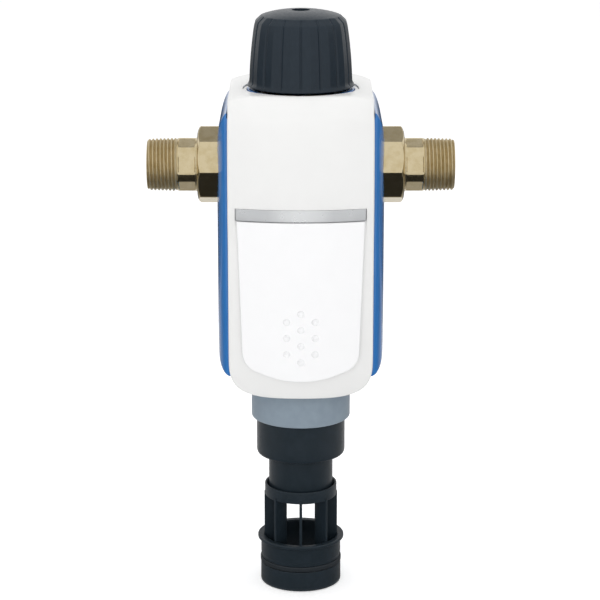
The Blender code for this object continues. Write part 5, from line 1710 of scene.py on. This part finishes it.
@dataclass
class Studio:
    """Camera, lamps, pale floor and white background."""

    camera_spot: Point = (-0.0005, -1.4247, 0.2942)
    camera_tilt: float = 75.0
    lens: float = 139.8
    floor_height: float = -0.2752
    ambient: float = 0.6
    floor_glow: float = 0.42        # lifts the floor to white for the camera alone

    def camera(self) -> None:
        """The camera, at the photograph's angle."""
        data = bpy.data.cameras.new("camera")
        data.lens = self.lens
        data.sensor_width = 36.0
        item = bpy.data.objects.new("camera", data)
        item.location = self.camera_spot
        item.rotation_euler = (math.radians(self.camera_tilt), 0.0, 0.0)
        bpy.context.scene.collection.objects.link(item)
        bpy.context.scene.camera = item

    def world(self) -> None:
        """Soft even light, seen as plain white by the camera and in reflections."""
        world = bpy.data.worlds.new("studio")
        world.use_nodes = True
        tree = world.node_tree
        tree.nodes.clear()
        rays = add_node(tree, "ShaderNodeLightPath").outputs
        seen = maths(tree, "MAXIMUM", rays["Is Camera Ray"], rays["Is Transmission Ray"])
        seen = maths(tree, "MAXIMUM", seen, rays["Is Glossy Ray"])
        soft = add_node(tree, "ShaderNodeBackground", {"Color": linear("#FFFFFF"),
                                                       "Strength": self.ambient})
        white = add_node(tree, "ShaderNodeBackground", {"Color": linear("#FFFFFF"),
                                                        "Strength": 1.0})
        mixed = add_node(tree, "ShaderNodeMixShader",
                         {0: seen, 1: soft.outputs[0], 2: white.outputs[0]})
        add_node(tree, "ShaderNodeOutputWorld", {0: mixed.outputs[0]})
        bpy.context.scene.world = world

    def lamp(self, name: str, spot: Point, aim: Point, size: Flat, watts: float) -> None:
        """A soft box that lights the object and shows in no mirror.

        Args:
            name: The lamp's name.
            spot: Where it stands, in metres.
            aim: The point that it faces.
            size: Its width and height in metres.
            watts: Its power.
        """
        data = bpy.data.lights.new(name, "AREA")
        data.shape = "RECTANGLE"
        data.size, data.size_y = size
        data.energy = watts
        item = bpy.data.objects.new(name, data)
        item.location = spot
        item.rotation_euler = (Vector(aim) - Vector(spot)).to_track_quat("-Z", "Y").to_euler()
        item.visible_glossy = False
        bpy.context.scene.collection.objects.link(item)

    def card(self, name: str, corners: Sequence[Point], along: int,
             stops: Sequence[tuple[float, float]]) -> None:
        """A card that only shows in reflections, to give shiny surfaces their dark and light.

        Args:
            name: The card's name.
            corners: Its corners in millimetres.
            along: The coordinate that its brightness follows.
            stops: That coordinate in metres and the brightness there, in order.
        """
        skin = Skin()
        skin.faces.append(tuple(skin.row(corners)))
        card = skin.piece(name)
        material = bpy.data.materials.new(name)
        material.use_nodes = True
        tree = material.node_tree
        tree.nodes.clear()
        spot = add_node(tree, "ShaderNodeTexCoord").outputs["Object"]
        height = add_node(tree, "ShaderNodeSeparateXYZ", {0: spot}).outputs[along]
        low, high = stops[0][0], stops[-1][0]
        share = add_node(tree, "ShaderNodeMapRange",
                         {"Value": height, "From Min": low, "From Max": high}).outputs[0]
        ramp = add_node(tree, "ShaderNodeValToRGB", {0: share})
        ends = ramp.color_ramp.elements
        for index, (level, light) in enumerate(stops):
            spot_on_ramp = (level - low) / (high - low)
            if index == 0:
                stop = ends[0]
            elif index == len(stops) - 1:
                stop = ends[-1]
            else:
                stop = ends.new(spot_on_ramp)
            stop.color = (light, light, light, 1.0)
        glow = add_node(tree, "ShaderNodeEmission", {"Color": ramp.outputs[0], "Strength": 1.0})
        add_node(tree, "ShaderNodeOutputMaterial", {0: glow.outputs[0]})
        card.data.materials.append(material)
        card.visible_camera = False
        card.visible_diffuse = False
        card.visible_transmission = False
        card.visible_shadow = False

    def floor(self) -> None:
        """A pale floor that takes the shadow."""
        skin = Skin()
        reach = 6000.0
        height = self.floor_height / MM
        skin.faces.append(tuple(skin.row([(-reach, -reach, height), (reach, -reach, height),
                                          (reach, reach, height), (-reach, reach, height)])))
        floor = skin.piece("floor")
        material = bpy.data.materials.new("floor_paint")
        material.use_nodes = True
        tree = material.node_tree
        shader = tree.nodes["Principled BSDF"]
        shader.inputs["Base Color"].default_value = linear("#F4F4F4")
        shader.inputs["Roughness"].default_value = 0.9
        rays = add_node(tree, "ShaderNodeLightPath").outputs
        glow = maths(tree, "MULTIPLY", rays["Is Camera Ray"], self.floor_glow)
        shader.inputs["Emission Color"].default_value = linear("#FFFFFF")
        tree.links.new(glow, shader.inputs["Emission Strength"])
        floor.data.materials.append(material)

    def build(self) -> None:
        """Sets the whole studio up."""
        self.camera()
        self.world()
        self.lamp("key", (-0.25, -2.0, 0.75), (0.0, 0.0, -0.05), (2.4, 1.5), 12.0)
        self.lamp("top", (0.0, 0.1, 1.55), (0.0, 0.0, 0.05), (1.6, 1.4), 12.0)
        self.lamp("fill", (0.0, -1.3, -0.16), (0.0, 0.0, -0.14), (1.8, 0.2), 1.6)
        self.floor()
        low = self.floor_height / MM + 2.0
        wide, back, high = 1300.0, 600.0, 1500.0
        self.card("front_card", [(-700.0, -480.0, low), (700.0, -480.0, low),
                                 (700.0, 190.0, low), (-700.0, 190.0, low)], 1,
                  [(-0.48, 0.03), (-0.06, 0.03), (0.06, 0.45), (0.19, 0.55)])
        self.card("near_card", [(-2000.0, -2500.0, low), (2000.0, -2500.0, low),
                                (2000.0, -480.0, low), (-2000.0, -480.0, low)], 1,
                  [(-2.5, 0.98), (-0.48, 0.98)])
        self.card("back_card", [(-wide, back, low), (wide, back, low),
                                (wide, back, high), (-wide, back, high)], 2,
                  [(self.floor_height, 0.5), (-0.252, 0.35), (-0.235, 0.12), (-0.17, 0.12),
                   (-0.15, 0.3), (-0.13, 0.35), (-0.1, 0.05), (-0.06, 0.05),
                   (0.02, 1.0), (0.5, 1.0), (0.8, 0.4), (1.5, 0.4)])
        for side in Side:
            across, near = wide * side.value, 200.0 * side.value
            self.card("side_card_" + side.label, [
                (across, -300.0, low), (across, back, low), (across, back, high),
                (across, -300.0, high)], 2,
                [(self.floor_height, 0.15), (0.0, 0.15), (0.25, 0.7), (1.5, 0.7)])
            fade = [(0.2, 0.6), (0.42, 0.3), (0.52, 0.12), (1.3, 0.12)]
            if side is Side.LEFT:
                fade = [(-place, light) for place, light in reversed(fade)]
            self.card("wing_card_" + side.label, [
                (near, -300.0, low + 2.0), (across, -300.0, low + 2.0), (across, back, low + 2.0),
                (near, back, low + 2.0)], 0, fade)
        bpy.context.scene.view_settings.view_transform = "Standard"


def main() -> None:
    """Builds every piece around the frame, then the studio."""
    logging.basicConfig(level=logging.INFO, format="%(message)s")
    finishes = Finishes()
    FrontCover().build(finishes)
    for side in Side:
        SideShell(side).build(finishes)
        PipeUnion(side).build(finishes)
    SliderAndStrip().build(finishes)
    Handwheel().build(finishes)
    FlushValve().build(finishes)
    DrainCage().build(finishes)
    Internals().build(finishes)
    Studio().build()


if __name__ == "__main__":
    main()
